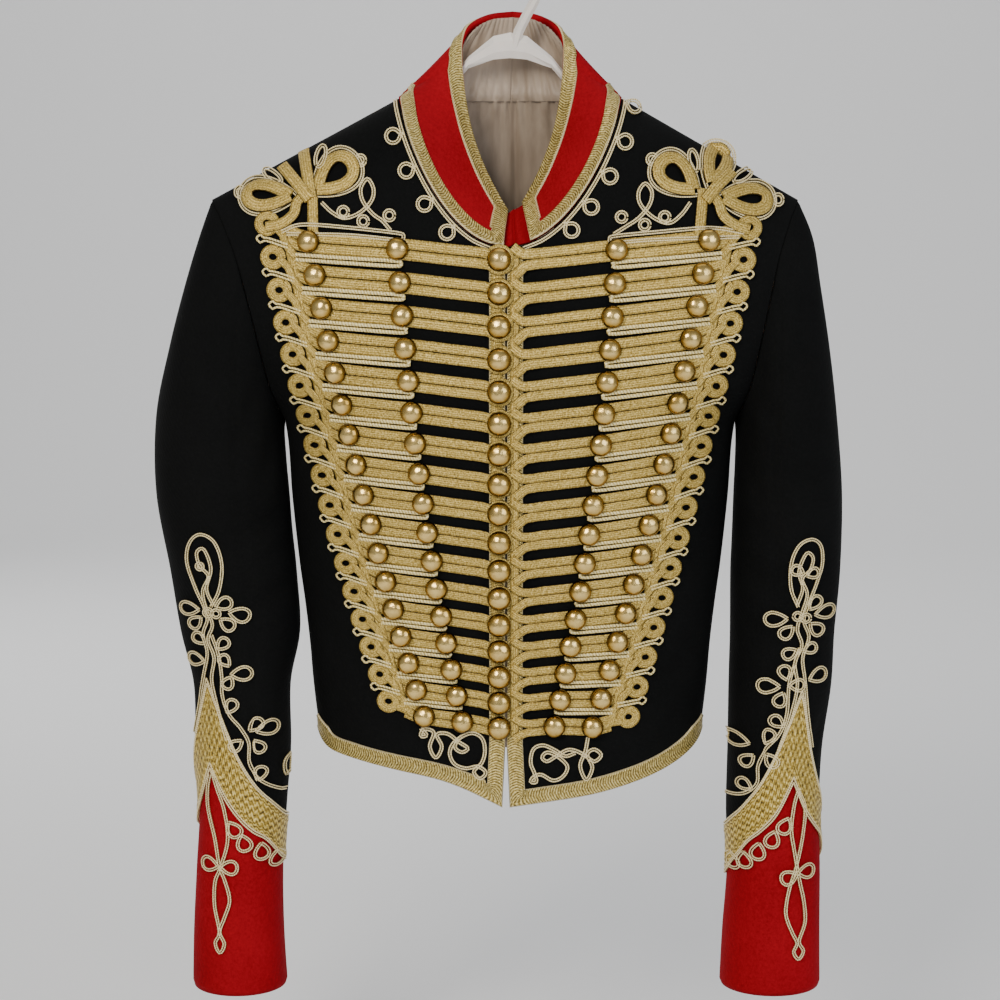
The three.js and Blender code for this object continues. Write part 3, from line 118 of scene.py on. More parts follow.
SLEEVE_TABLE = {
    "left": table(
        "ring out_z out in_z in_ depth swing",
        (0, -199, 229, -370, 174.9, 39, 0), (1, -228, 239.5, -377, 175.4, 46, 0),
        (2, -265, 251, -386, 175, 51, 0), (3, -312, 263.5, -402, 173.8, 53, 0),
        (4, -365, 274.5, -426, 172, 53, 0), (5, -425, 275.5, -455, 170, 51, 0),
        (6, -485, 265.5, -492, 166.5, 48, -1), (7, -535, 257.5, -535, 164.5, 45, -3),
        (8, -575, 248, -575, 172, 43, -6), (9, -625, 247, -625, 172, 41, -10),
        (10, -672, 244, -672, 175.5, 39, -14), (11, -720, 246.5, -720, 178.5, 38, -18),
        (12, -770, 249, -770, 178, 39, -22), (13, -820, 250, -820, 175, 40, -26),
    ),
    "right": table(
        "ring out_z out in_z in_ depth swing",
        (0, -199, 221, -370, 174.9, 39, 0), (1, -228, 233, -377, 175.4, 46, 0),
        (2, -265, 239.5, -386, 175.4, 51, 0), (3, -312, 247, -402, 175, 53, 0),
        (4, -365, 253.5, -426, 174.3, 53, 0), (5, -425, 258.5, -455, 173.5, 51, 0),
        (6, -485, 258, -492, 172.5, 48, -1), (7, -535, 254, -535, 172.5, 45, -3),
        (8, -575, 252, -575, 171.6, 43, -6), (9, -625, 245, -625, 171, 41, -10),
        (10, -672, 243, -672, 170, 39, -14), (11, -720, 244, -720, 171, 38, -18),
        (12, -770, 244, -770, 167.5, 39, -22), (13, -820, 244.5, -820, 165, 40, -26),
    ),
}
SET_IN_RINGS = 4
LAST_PLAIN_RING = 7
# The cuff's point: its place round the sleeve, then the lace's edges by degrees from it.
CUFF_APEX = {"left": 3, "right": 4}
CUFF_LACE_TABLE = {
    "left": table(
        "away lower upper",
        (0, -633, -567), (18, -656, -598), (36, -672, -627), (54, -683, -647),
        (72, -690, -659), (108, -709, -675), (180, -722, -688),
    ),
    "right": table(
        "away lower upper",
        (0, -643, -575), (18, -668, -616), (36, -682, -644), (54, -692, -661),
        (72, -705, -673), (108, -724, -687), (180, -732, -695),
    ),
}
# How far each front's hem is eased up, at parts of its width from the closing.
HEM_RISE = {
    "left": table(
        "part rise", (0, 0), (0.14, 7.5), (0.25, 9.5), (0.41, 6.9), (0.61, 2.4), (0.81, -2.3), (1, 0)),
    "right": table(
        "part rise", (0, 0), (0.11, -2), (0.3, -5.5), (0.47, -6.1), (0.6, -5.6), (0.78, -3.2), (1, 0)),
}
COLLAR_TOP = table(
    "angle out y z",
    (90, 5, -21, -208), (68, 12, -17, -195), (48, 23, -11, -173), (30, 31.5, -5, -149),
    (16, 36, 0, -126), (6, 37.8, 5, -108), (0, 38.5, 10, -95), (-14, 38, 17, -80),
    (-36, 32, 28, -66), (-62, 18, 37, -57.5), (-90, 0, 41, -55),
)
COLLAR_SHIFT = 2.0
COLLAR_WALL = 3.0
COLLAR_FRONT_ANGLE = {"left": 89.0, "right": 78.0}
COLLAR_BULGE = 1.5
SATIN_WALL = 0.6
SATIN_TOP = 0.93
TAB_WALL = 1.8

# Where the frogging rows cross the button columns: top, middle and bottom row, as
# distance from the middle and height.
FROGGING = {
    "left": {
        "centre": ((8.5, -242.1), (8.5, -433), (8.5, -599.4)),
        "inner": ((84.8, -234), (65.7, -425.5), (36.5, -594.9)),
        "outer": ((151.7, -229.1), (110.8, -420.1), (65.7, -591.2)),
        "ring": ((183.5, -216), (142.9, -407), (93, -580.8)),
    },
    "right": {
        "centre": ((4, -243), (4, -433.5), (4, -600)),
        "inner": ((79.7, -234.9), (62.4, -426.9), (33.7, -598.5)),
        "outer": ((148.9, -228.1), (110.3, -420), (62.7, -599.6)),
        "ring": ((180.5, -219), (139.2, -408), (90.5, -592.7)),
    },
}

# Soft folds: where each starts and ends, how wide it is and how deep.
BODY_FOLDS = {
    "front": {
        "left": (
            ((168, -392), (128, -500), 9, 1.6), ((160, -470), (104, -565), 8, 1.3),
            ((150, -560), (96, -620), 9, 1.5), ((196, -300), (176, -392), 8, 1.5),
            ((120, -150), (196, -214), 12, 0.9), ((148, -604), (60, -636), 8, 1.1),
        ),
        "right": (
            ((166, -398), (132, -486), 8, 1.5), ((158, -500), (100, -588), 9, 1.4),
            ((146, -586), (84, -626), 8, 1.3), ((190, -286), (172, -384), 9, 1.6),
            ((128, -156), (190, -208), 11, 0.9), ((140, -540), (112, -560), 7, 0.9),
        ),
    },
    "back": {
        "left": (
            ((182, -300), (90, -262), 13, 2.0), ((170, -380), (84, -470), 12, 2.2),
            ((150, -500), (60, -560), 12, 1.8), ((26, -210), (20, -420), 15, 1.6),
            ((120, -560), (70, -618), 10, 1.6), ((150, -240), (70, -190), 14, 1.6),
        ),
        "right": (
            ((178, -320), (92, -280), 12, 1.8), ((168, -400), (96, -500), 12, 2.0),
            ((140, -520), (52, -590), 11, 1.8), ((34, -240), (26, -400), 14, 1.3),
            ((110, -580), (64, -622), 10, 1.4), ((156, -236), (60, -180), 15, 1.7),
        ),
    },
}
# The same on the sleeves: millimetres round from the middle of the front, and height.
SLEEVE_FOLDS = {
    "left": (
        ((-66, -432), (-4, -478), 8, 2.6), ((-70, -462), (6, -500), 7, 2.2),
        ((-62, -498), (-10, -520), 7, 1.9), ((44, -470), (14, -440), 8, 1.6),
        ((-52, -330), (-14, -404), 10, 2.4), ((-58, -372), (-30, -440), 8, 1.8),
        ((30, -250), (10, -330), 12, 1.5), ((52, -560), (20, -610), 8, 1.3),
        ((150, -440), (100, -500), 10, 2.2), ((168, -400), (120, -350), 12, 2.0),
        ((-120, -520), (-90, -450), 10, 2.0), ((120, -600), (160, -560), 9, 1.6),
    ),
    "right": (
        ((-60, -440), (-2, -470), 8, 2.4), ((-66, -476), (2, -514), 7, 2.2),
        ((-60, -520), (-16, -546), 7, 1.7), ((46, -452), (18, -420), 8, 1.5),
        ((-50, -336), (-10, -396), 10, 2.3), ((-56, -390), (-24, -450), 8, 1.7),
        ((34, -244), (8, -318), 12, 1.6), ((50, -584), (22, -630), 8, 1.2),
        ((146, -450), (98, -520), 10, 2.2), ((170, -410), (124, -350), 12, 1.9),
        ((-118, -530), (-88, -460), 10, 1.9), ((116, -610), (156, -570), 9, 1.6),
    ),
}

# ---- surfaces ----------------------------------------------------------------------------


def sign_of(side):
    return 1.0 if side == "right" else -1.0


def lerp(a, b, t):
    """The place that lies a share t of the way from a to b."""
    return a + (b - a) * t


def ease(t):
    """A soft step from 0 to 1."""
    t = np.clip(t, 0.0, 1.0)
    return t * t * (3.0 - 2.0 * t)


def unit(vectors):
    """Vectors of length one."""
    vectors = np.asarray(vectors, float)
    length = np.linalg.norm(vectors, axis=-1, keepdims=True)
    return vectors / np.maximum(length, 1e-12)


def through(rows, key, value):
    """A smooth curve through one column of a table."""
    rows = sorted(rows, key=lambda row: row[key])
    xs = np.array([row[key] for row in rows], float)
    ys = np.array([row[value] for row in rows], float)
    low = np.maximum(np.arange(len(xs)) - 1, 0)
    high = np.minimum(np.arange(len(xs)) + 1, len(xs) - 1)
    slopes = (ys[high] - ys[low]) / (xs[high] - xs[low])

    def at(place):
        held = np.clip(place, xs[0], xs[-1])
        i = np.clip(np.searchsorted(xs, held) - 1, 0, len(xs) - 2)
        span = xs[i + 1] - xs[i]
        t = (held - xs[i]) / span
        return (
            (2 * t**3 - 3 * t**2 + 1) * ys[i] + (t**3 - 2 * t**2 + t) * span * slopes[i]
            + (3 * t**2 - 2 * t**3) * ys[i + 1] + (t**3 - t**2) * span * slopes[i + 1]
        )

    return at


body_half = through(BODY_TABLE, "z", "half")
body_depth = {face: through(BODY_TABLE, "z", face) for face in ("front", "back")}
armhole_out = through(ARMHOLE_TABLE, "z", "out")
cuff_lace_edge = {
    side: {name: through(rows, "away", name) for name in ("lower", "upper")}
    for side, rows in CUFF_LACE_TABLE.items()
}
hem_rise = {side: through(rows, "part", "rise") for side, rows in HEM_RISE.items()}
collar_top = {name: through(COLLAR_TOP, "angle", name) for name in ("out", "y", "z")}
sleeve_ring = {
    side: {name: through(rows, "ring", name) for name in ("out_z", "out", "in_z", "in_", "depth", "swing")}
    for side, rows in SLEEVE_TABLE.items()
}
sleeve_column = {
    side: {name: through(rows[SET_IN_RINGS:], "out_z", name) for name in ("out", "in_", "depth", "swing")}
    for side, rows in SLEEVE_TABLE.items()
}


def fold_depth(across, up, folds):
    """How far the cloth is pushed in: a soft valley along each fold, with a low rim beside it."""
    total = np.zeros(np.broadcast(across, up).shape)
    for start, end, width, depth in folds:
        run = np.array(end, float) - start
        length = math.hypot(*run)
        run /= length
        along = ((across - start[0]) * run[0] + (up - start[1]) * run[1]) / length
        aside = (across - start[0]) * run[1] - (up - start[1]) * run[0]
        aside = aside + 0.12 * length * np.sin(2.4 * along)
        fade = ease(1.0 - abs(2.0 * along - 1.0))
        valley = np.exp(-((aside / width) ** 2))
        rim = 0.5 * np.exp(-(((aside - 1.7 * width) / (1.1 * width)) ** 2))
        total = total + depth * fade * (valley - rim)
    return total


def shoulder_line(side, out):
    tip = SHOULDER_HALF[side]
    return NECK_TOP + (NECK_HALF - out) * (NECK_TOP - SHOULDER_Z) / (tip - NECK_HALF)


def body_y(face, side, out, z):
    """How far the hung front or back stands out at a place seen from the front."""
    across = np.clip(np.abs(out) / body_half(z), 0, 1)
    below = np.clip((shoulder_line(side, np.abs(out)) - z) / SHOULDER_ROUND, 0, 1)
    full = np.sqrt(1 - across**FULLNESS) * np.sqrt(1 - (1 - below) ** 2)
    y = body_depth[face](z) * full - fold_depth(out, z, BODY_FOLDS[face][side]) * ease(2.5 * full)
    return -y if face == "front" else y


def body_spot(face, side, out, z):
    return np.stack([sign_of(side) * out, body_y(face, side, out, z), z], -1)


def body_point(face, side, out, z, lift=0.0):
    """A point of the cloth, moved out by lift along its normal."""
    out, z = np.broadcast_arrays(np.asarray(out, float), np.asarray(z, float))
    point = body_spot(face, side, out, z)
    if np.ndim(lift) == 0 and lift == 0:
        return point
    return point + np.expand_dims(np.asarray(lift, float), -1) * body_normal(face, side, out, z)


def body_normal(face, side, out, z):
    """Outward normal of the cloth, from spots a millimetre to each side."""
    across = body_spot(face, side, out + 1.0, z) - body_spot(face, side, out - 1.0, z)
    up = body_spot(face, side, out, z + 1.0) - body_spot(face, side, out, z - 1.0)
    normal = unit(np.cross(across, up))
    facing = -1.0 if face == "front" else 1.0
    return np.where(normal[..., 1:2] * facing < 0, -normal, normal)


def closing_out(side, z):
    """How far from the middle a front has its edge, which parts a little at the bottom."""
    flare = CLOSING_FLARE * np.clip((FLARE_TOP - z) / FLARE_LENGTH, 0, 1)
    return sign_of(side) * CLOSING_X + CLOSING_GAP + flare


def neckline(face, side, angle):
    """A place on the neckline: 90 is the middle of the front or back, 0 the neck point."""
    turn = np.radians(angle)
    if face == "back":
        return NECK_HALF * np.cos(turn), NECK_TOP + NECK_BACK_RISE * np.sin(turn)
    start = closing_out(side, NECK_TOP)
    z = NECK_TOP - NECK_DROP * np.sin(turn) ** NECK_CURVE
    return start + (NECK_HALF - start) * np.cos(turn), z


def inner_end(face, side, t):
    """Where row t of the cloth meets the middle line or the neckline."""
    i = min(int(t), TIP_ROW - 1)
    part = t - i
    low, high = CLOTH_ROWS[i], CLOTH_ROWS[i + 1]
    if t <= NECK_ROW[face]:
        z = lerp(low[face], high[face], part)
        return (float(closing_out(side, z)) if face == "front" else 0.0), z
    return neckline(face, side, lerp(low[f"{face}_angle"], high[f"{face}_angle"], part))


def row_height(t):
    i = min(int(t), TIP_ROW - 1)
    return lerp(CLOTH_ROWS[i]["side"], CLOTH_ROWS[i + 1]["side"], t - i)


def outer_end(side, z):
    """Where the row that reaches height z at the side meets the side seam or the armhole."""
    if z <= ARMPIT_Z:
        return float(body_half(z)), z
    share = ((z - ARMPIT_Z) / (SHOULDER_Z - ARMPIT_Z)) ** 2
    return float(armhole_out(z)) + (SHOULDER_HALF[side] - ARMHOLE_TABLE[-1]["out"]) * share, z


def row_places(face, side, t, s):
    """Places along row t of the cloth, s running from the middle (0) to the side (1)."""
    a_out, a_z = inner_end(face, side, t)
    b_out, b_z = outer_end(side, row_height(t))
    turn = lerp(math.asin(a_out / body_half(a_z)), math.asin(min(b_out / body_half(b_z), 1.0)), s)
    out = body_half(lerp(a_z, b_z, s)) * np.sin(turn)
    straight = min(max((row_height(t) - ARMPIT_Z) / STRAIGHTEN, 0.0), 1.0)
    z = lerp(a_z, b_z, lerp(s, (out - a_out) / (b_out - a_out), straight))
    if face == "front":
        z = z + np.clip((EASE_TOP - row_height(t)) / EASE_LENGTH, 0, 1) ** 1.5 * hem_rise[side](s)
    return out, z


def panel_grid(face, side, columns):
    """Outer points of a front or of half the back, row by row from the hem."""
    rows = []
    for t in np.linspace(0, TIP_ROW, 5 * TIP_ROW + 1):
        out, z = row_places(face, side, t, columns)
        rows.append(body_point(face, side, out, z))
    return np.array(rows)


def low_sleeve(side, angle, z, lift=0.0):
    """The sleeve below the elbow, by angle (0 outside, 90 in front) and height."""
    column = sleeve_column[side]
    half = (column["out"](z) - column["in_"](z)) / 2
    middle = (column["out"](z) + column["in_"](z)) / 2
    depth = column["depth"](z)
    normal = unit(np.stack(np.broadcast_arrays(np.cos(angle) / half, -np.sin(angle) / depth), -1))
    out = middle + half * np.cos(angle) + normal[..., 0] * lift
    y = column["swing"](z) - depth * np.sin(angle) + normal[..., 1] * lift
    return np.stack(np.broadcast_arrays(sign_of(side) * out, y, z), -1)


@lru_cache(None)
def armhole_loop(side, places):
    """The armhole as measured from the line between shoulder tip and armpit."""
    top = SLEEVE_TABLE[side][0]
    sign = sign_of(side)
    tip = np.array([sign * top["out"], 0, top["out_z"]])
    pit = np.array([sign * top["in_"], 0, top["in_z"]])
    middle = (tip + pit) / 2
    axis = tip - middle
    loop = []
    for place in places:
        face = "front" if place <= 10 else "back"
        t = TIP_ROW - place if place <= 10 else ARMPIT_ROW + place - 10
        out, z = outer_end(side, row_height(t))
        offset = body_point(face, side, out, z) - middle
        along = offset.dot(axis) / axis.dot(axis)
        rest = offset - along * axis
        loop.append((along, -offset[1] / top["depth"], rest[0], rest[2]))
    return np.array(loop)


def away_from_point(side, place):
    steps = np.abs(np.asarray(place) - CUFF_APEX[side])
    return 360 / RING_PLACES * np.minimum(steps, RING_PLACES - steps)


def cuff_lace_height(side, place, part):
    """Height on a cuff's lace: 0 on its upper edge to 1 on its lower edge."""
    away = away_from_point(side, place)
    return lerp(cuff_lace_edge[side]["upper"](away), cuff_lace_edge[side]["lower"](away), part)


def sleeve_grid(side, places):
    """Outer points of a sleeve down to its cuff seam, ring by ring, with its folds."""
    sign = sign_of(side)
    turn = 2 * np.pi * places / RING_PLACES
    loop = armhole_loop(side, tuple(places))
    rings = []
    for ring in np.linspace(0, LAST_PLAIN_RING, 8 * LAST_PLAIN_RING + 1):
        value = {name: float(at(ring)) for name, at in sleeve_ring[side].items()}
        top = np.array([sign * value["out"], value["swing"], value["out_z"]])
        bottom = np.array([sign * value["in_"], value["swing"], value["in_z"]])
        middle, axis = (top + bottom) / 2, (top - bottom) / 2
        plain = ease(ring / SET_IN_RINGS)
        along = lerp(loop[:, 0], np.cos(turn), plain)
        level = lerp(loop[:, 1], np.sin(turn), plain)
        points = middle + along[:, None] * axis
        points[:, 1] -= level * value["depth"]
        points[:, 0] += loop[:, 2] * (1 - plain)
        points[:, 2] += loop[:, 3] * (1 - plain)
        rings.append(points)
    start = SLEEVE_TABLE[side][LAST_PLAIN_RING]["out_z"]
    for part in np.linspace(0, 1, 25)[1:]:
        rings.append(low_sleeve(side, turn, lerp(start, cuff_lace_height(side, places, 0.5), part)))
    points = np.array(rings)
    normals = around_normals(points)
    step = SLEEVE_ROUND / RING_PLACES
    half = SLEEVE_ROUND / 2
    round_from_front = ((places - RING_PLACES / 4) * step + half) % SLEEVE_ROUND - half
    seam = np.zeros(len(places))
    for place in SLEEVE_SEAMS:
        seam += 0.9 * np.exp(-(((places - place) * step / 2.6) ** 2))
    depth = fold_depth(-round_from_front[None, :], points[:, :, 2], SLEEVE_FOLDS[side])
    # The folds fade out above the cuff, and the sleeve head is drawn in at the armhole.
    depth = depth * ease((points[:, :, 2] + 690) / 60) + seam[None, :]
    depth[0] += 0.7
    return points - depth[..., None] * normals


def around_normals(points):
    """Outward normals of a tube given ring by ring."""
    along = np.gradient(points, axis=0)
    across = (np.roll(points, -1, 1) - np.roll(points, 1, 1)) / 2
    normals = unit(np.cross(across, along))
    centre = points.mean(1, keepdims=True)
    inside = ((points - centre) * normals).sum(-1, keepdims=True).mean() < 0
    return -normals if inside else normals


# ---- meshes ------------------------------------------------------------------------------


def grid_faces(rows, columns, around=False):
    """The four-sided faces of a grid of points, or of a tube."""
    faces = []
    for row in range(rows - 1):
        for column in range(columns if around else columns - 1):
            a = row * columns + column
            b = row * columns + (column + 1) % columns
            faces.append((a, b, b + columns, a + columns))
    return faces


def turned_out(points, faces, outward):
    """The faces, turned over where most of them look the wrong way."""
    points = np.asarray(points)
    corner = points[np.array(faces)]
    normal = np.cross(corner[:, 2] - corner[:, 0], corner[:, 3] - corner[:, 1])
    if (normal * outward(corner.mean(1))).sum() < 0:
        return [tuple(reversed(face)) for face in faces]
    return faces


def put(name, points, faces, material, values=None, edges=()):
    """A mesh object from points in millimetres, with its place in its mesh."""
    mesh = bpy.data.meshes.new(name)
    mesh.from_pydata((np.asarray(points, float).reshape(-1, 3) * MM).tolist(), list(edges), list(faces))
    for label, numbers in (values or {}).items():
        numbers = np.asarray(numbers, float)
        vector = numbers.ndim == 2
        layer = mesh.attributes.new(label, "FLOAT_VECTOR" if vector else "FLOAT", "POINT")
        layer.data.foreach_set("vector" if vector else "value", numbers.ravel())
    for one in material:
        mesh.materials.append(one)
    mesh.polygons.foreach_set("use_smooth", [True] * len(mesh.polygons))
    mesh.update()
    piece = bpy.data.objects.new(name, mesh)
    bpy.context.scene.collection.objects.link(piece)
    return piece


def settled(piece):
    """Turns what the modifiers make into the piece's own plain mesh."""
    depsgraph = bpy.context.evaluated_depsgraph_get()
    made = bpy.data.meshes.new_from_object(
        piece.evaluated_get(depsgraph), preserve_all_data_layers=True, depsgraph=depsgraph
    )
    before = piece.data
    piece.modifiers.clear()
    piece.data = made
    made.name = piece.name
    bpy.data.meshes.remove(before)
    return piece


def grown(piece, tree, inputs):
    """Turns a piece into what a node tree makes of it, given the tree's inputs by name."""
    modifier = piece.modifiers.new(tree.name, "NODES")
    modifier.node_group = tree
    for label, value in inputs.items():
        modifier[tree.interface.items_tree[label].identifier] = value
    return settled(piece)


def walled(piece, thickness):
    """Gives a sheet its thickness, inwards; the inner face takes the second material."""
    solidify = piece.modifiers.new("wall", "SOLIDIFY")
    solidify.thickness = thickness * MM
    solidify.offset = -1
    solidify.use_quality_normals = True
    solidify.material_offset = 1 if len(piece.data.materials) > 1 else 0
    return settled(piece)


def band(name, low, high, material):
    """A closed strip of lace from two grids of points: along its length, and across it."""
    rows, columns = low.shape[:2]
    points = np.concatenate([high.reshape(-1, 3), low.reshape(-1, 3)])
    top = grid_faces(rows, columns)
    under = rows * columns
    faces = top + [tuple(under + i for i in reversed(face)) for face in top]
    rim = [(0, c) for c in range(columns)] + [(r, columns - 1) for r in range(1, rows)]
    rim += [(rows - 1, c) for c in range(columns - 2, -1, -1)] + [(r, 0) for r in range(rows - 2, 0, -1)]
    rim = [r * columns + c for r, c in rim]
    for a, b in zip(rim, rim[1:] + rim[:1]):
        faces.append((b, a, under + a, under + b))
    middle = high[:, columns // 2]
    along = np.concatenate([[0], np.cumsum(np.linalg.norm(np.diff(middle, axis=0), axis=1))]) * MM
    across = np.linspace(-1, 1, columns)
    values = {
        "along": np.tile(np.repeat(along, columns), 2),
        "across": np.tile(np.tile(across, rows), 2),
    }
    face = np.array(top)
    normal = np.cross(
        points[face[:, 2]] - points[face[:, 0]], points[face[:, 3]] - points[face[:, 1]]
    )
    outward = (high - low).reshape(-1, 3)[face[:, 0]]
    if (normal * outward).sum() < 0:
        faces = [tuple(reversed(face)) for face in faces]
    return put(name, points, faces, [material], values)


def cut_sheet(points, around=False):
    """Measures the outer face of a sheet of cloth laid flat, its width and height, which are not kept."""
    points = np.concatenate([points, points[:, :1]], 1) if around else points
    wide = np.linalg.norm(np.diff(points, axis=1), axis=-1).sum(1).max()
    tall = np.linalg.norm(np.diff(points, axis=0), axis=-1).sum(0).max()


def ride(piece, slot, *nodes):
    """Fixes a finished piece to the jacket's one body, in place of its plain solids."""
    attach(piece, BODY)
    if nodes:
        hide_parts(*nodes)
    return piece


# ---- paths on the cloth --------------------------------------------------------------------

# How far a section's rounded top is flattened: 1 is a half circle, more is flatter.
FLAT = 2.4
ROUND = 1.3


def smooth_line(points, step=1.6):
    """A smooth curve through a short list of places, in steps of about the same length."""
    points = np.asarray(points, float)
    padded = np.concatenate([2 * points[:1] - points[1:2], points, 2 * points[-1:] - points[-2:-1]])
    dense = []
    t = np.linspace(0, 1, 16, endpoint=False)[:, None]
    for i in range(len(points) - 1):
        p0, p1, p2, p3 = padded[i:i + 4]
        dense.append(0.5 * (
            2 * p1 + (p2 - p0) * t + (2 * p0 - 5 * p1 + 4 * p2 - p3) * t**2
            + (3 * p1 - p0 - 3 * p2 + p3) * t**3
        ))
    dense = np.concatenate(dense + [points[-1:]])
    length = np.concatenate([[0], np.cumsum(np.linalg.norm(np.diff(dense, axis=0), axis=1))])
    places = np.linspace(0, length[-1], max(int(round(length[-1] / step)), 4) + 1)
    return np.stack([np.interp(places, length, dense[:, k]) for k in range(dense.shape[1])], -1)


def tilted(x, z, across, up, lean):
    """Places round a middle (x, z), turned by lean in degrees."""
    tilt = math.radians(lean)
    along = x + across * math.cos(tilt) - up * math.sin(tilt)
    return np.stack([along, z + across * math.sin(tilt) + up * math.cos(tilt)], -1)


def oval(x, z, wide, tall, lean=0.0, start=0.0, sweep=360.0, count=14):
    """Places round an oval, in degrees from its right end."""
    turn = np.radians(np.linspace(start, start + sweep, count))
    return tilted(x, z, wide * np.cos(turn), tall * np.sin(turn), lean)


def on_body(path, lift):
    """Lays places (x, z) on the fronts."""
    x, z = path[:, 0], path[:, 1]
    points, normals = np.zeros((len(x), 3)), np.zeros((len(x), 3))
    for side in SIDES:
        mine = x < CLOSING_X if side == "left" else x >= CLOSING_X
        if mine.any():
            out = sign_of(side) * x[mine]
            normals[mine] = body_normal("front", side, out, z[mine])
            points[mine] = body_point("front", side, out, z[mine])
    return points + np.asarray(lift).reshape(-1, 1) * normals, normals


@lru_cache(None)
def sleeve_tree(side):
    places = np.arange(0, RING_PLACES, 0.25)
    upper = sleeve_grid(side, places)
    lower = cuff_grid(side, places)
    count = upper.shape[0] * upper.shape[1]
    faces = grid_faces(*upper.shape[:2], True)
    faces += [tuple(i + count for i in face) for face in grid_faces(*lower.shape[:2], True)]
    points = np.concatenate([upper.reshape(-1, 3), lower.reshape(-1, 3)])
    return BVHTree.FromPolygons([tuple(p) for p in points], faces)


def on_sleeve(path, lift):
    """Lays places (x, z) on the front of a sleeve and its cuff."""
    side = "left" if path[0][0] < 0 else "right"
    tree = sleeve_tree(side)
    points, normals = [], []
    for x, z in path:
        spot, normal, _, _ = tree.ray_cast(Vector((x, -400, z)), Vector((0, 1, 0)))
        if spot is None:
            spot, normal, _, _ = tree.find_nearest(Vector((x, -20, z)))
        points.append(spot)
        normals.append(normal if normal.y < 0 else -normal)
    points, normals = np.array(points), np.array(normals)
    for _ in range(2):
        normals[1:-1] = (normals[:-2] + 2 * normals[1:-1] + normals[2:]) / 4
    normals = unit(normals)
    return points + np.asarray(lift).reshape(-1, 1) * normals, normals


def along_paths(name, paths, place, thread, section, slot, *nodes):
    """Sews a braid or cord along paths, each (places, lift) or (places, lift, girth).

    The section is its half width and height in millimetres, and its flatness.
    """
    points, normals, edges, girths = [], [], [], []
    start = 0
    for places, lift, *girth in paths:
        spots, ups = place(np.asarray(places), lift)
        points.append(spots)
        normals.append(ups)
        girths.append(np.full(len(spots), girth[0] if girth else 1.0))
        edges += [(start + i, start + i + 1) for i in range(len(spots) - 1)]
        start += len(spots)
    values = {"lay": np.concatenate(normals), "girth": np.concatenate(girths)}
    piece = put(name, np.concatenate(points), [], [], values, edges)
    half, height, flatness = section
    grown(piece, shared_tree("braid"), {
        "Half width": half * MM, "Height": height * MM, "Flatness": flatness, "Material": finish(thread)})
    return ride(piece, slot, *nodes)


# ---- node trees for what repeats -------------------------------------------------------------


def feed(tree, node, inputs):
    """Sets a node's inputs: each is a plain value, or a node or socket to link."""
    for name, value in inputs.items():
        if isinstance(value, bpy.types.Node):
            value = value.outputs[0]
        if isinstance(value, bpy.types.NodeSocket):
            tree.links.new(value, node.inputs[name])
        else:
            node.inputs[name].default_value = value
    return node


def add(tree, kind, inputs=None, **settings):
    """Adds a node with its settings and inputs."""
    node = tree.nodes.new(kind)
    for name, value in settings.items():
        setattr(node, name, value)
    return feed(tree, node, inputs or {})


def new_tree(name, sockets):
    tree = bpy.data.node_groups.new(name, "GeometryNodeTree")
    tree.interface.new_socket("Geometry", in_out="INPUT", socket_type="NodeSocketGeometry")
    for label, kind, default in sockets:
        socket = tree.interface.new_socket(label, in_out="INPUT", socket_type=kind)
        if default is not None:
            socket.default_value = default
    tree.interface.new_socket("Result", in_out="OUTPUT", socket_type="NodeSocketGeometry")
    return tree, tree.nodes.new("NodeGroupInput"), tree.nodes.new("NodeGroupOutput")


def ended(tree, shape, given, result):
    """Ends a tree as real geometry in the given material."""
    real = add(tree, "GeometryNodeRealizeInstances", {"Geometry": shape})
    done = add(tree, "GeometryNodeSetMaterial", {"Geometry": real, "Material": given.outputs["Material"]})
    feed(tree, result, {"Result": done})
    return tree


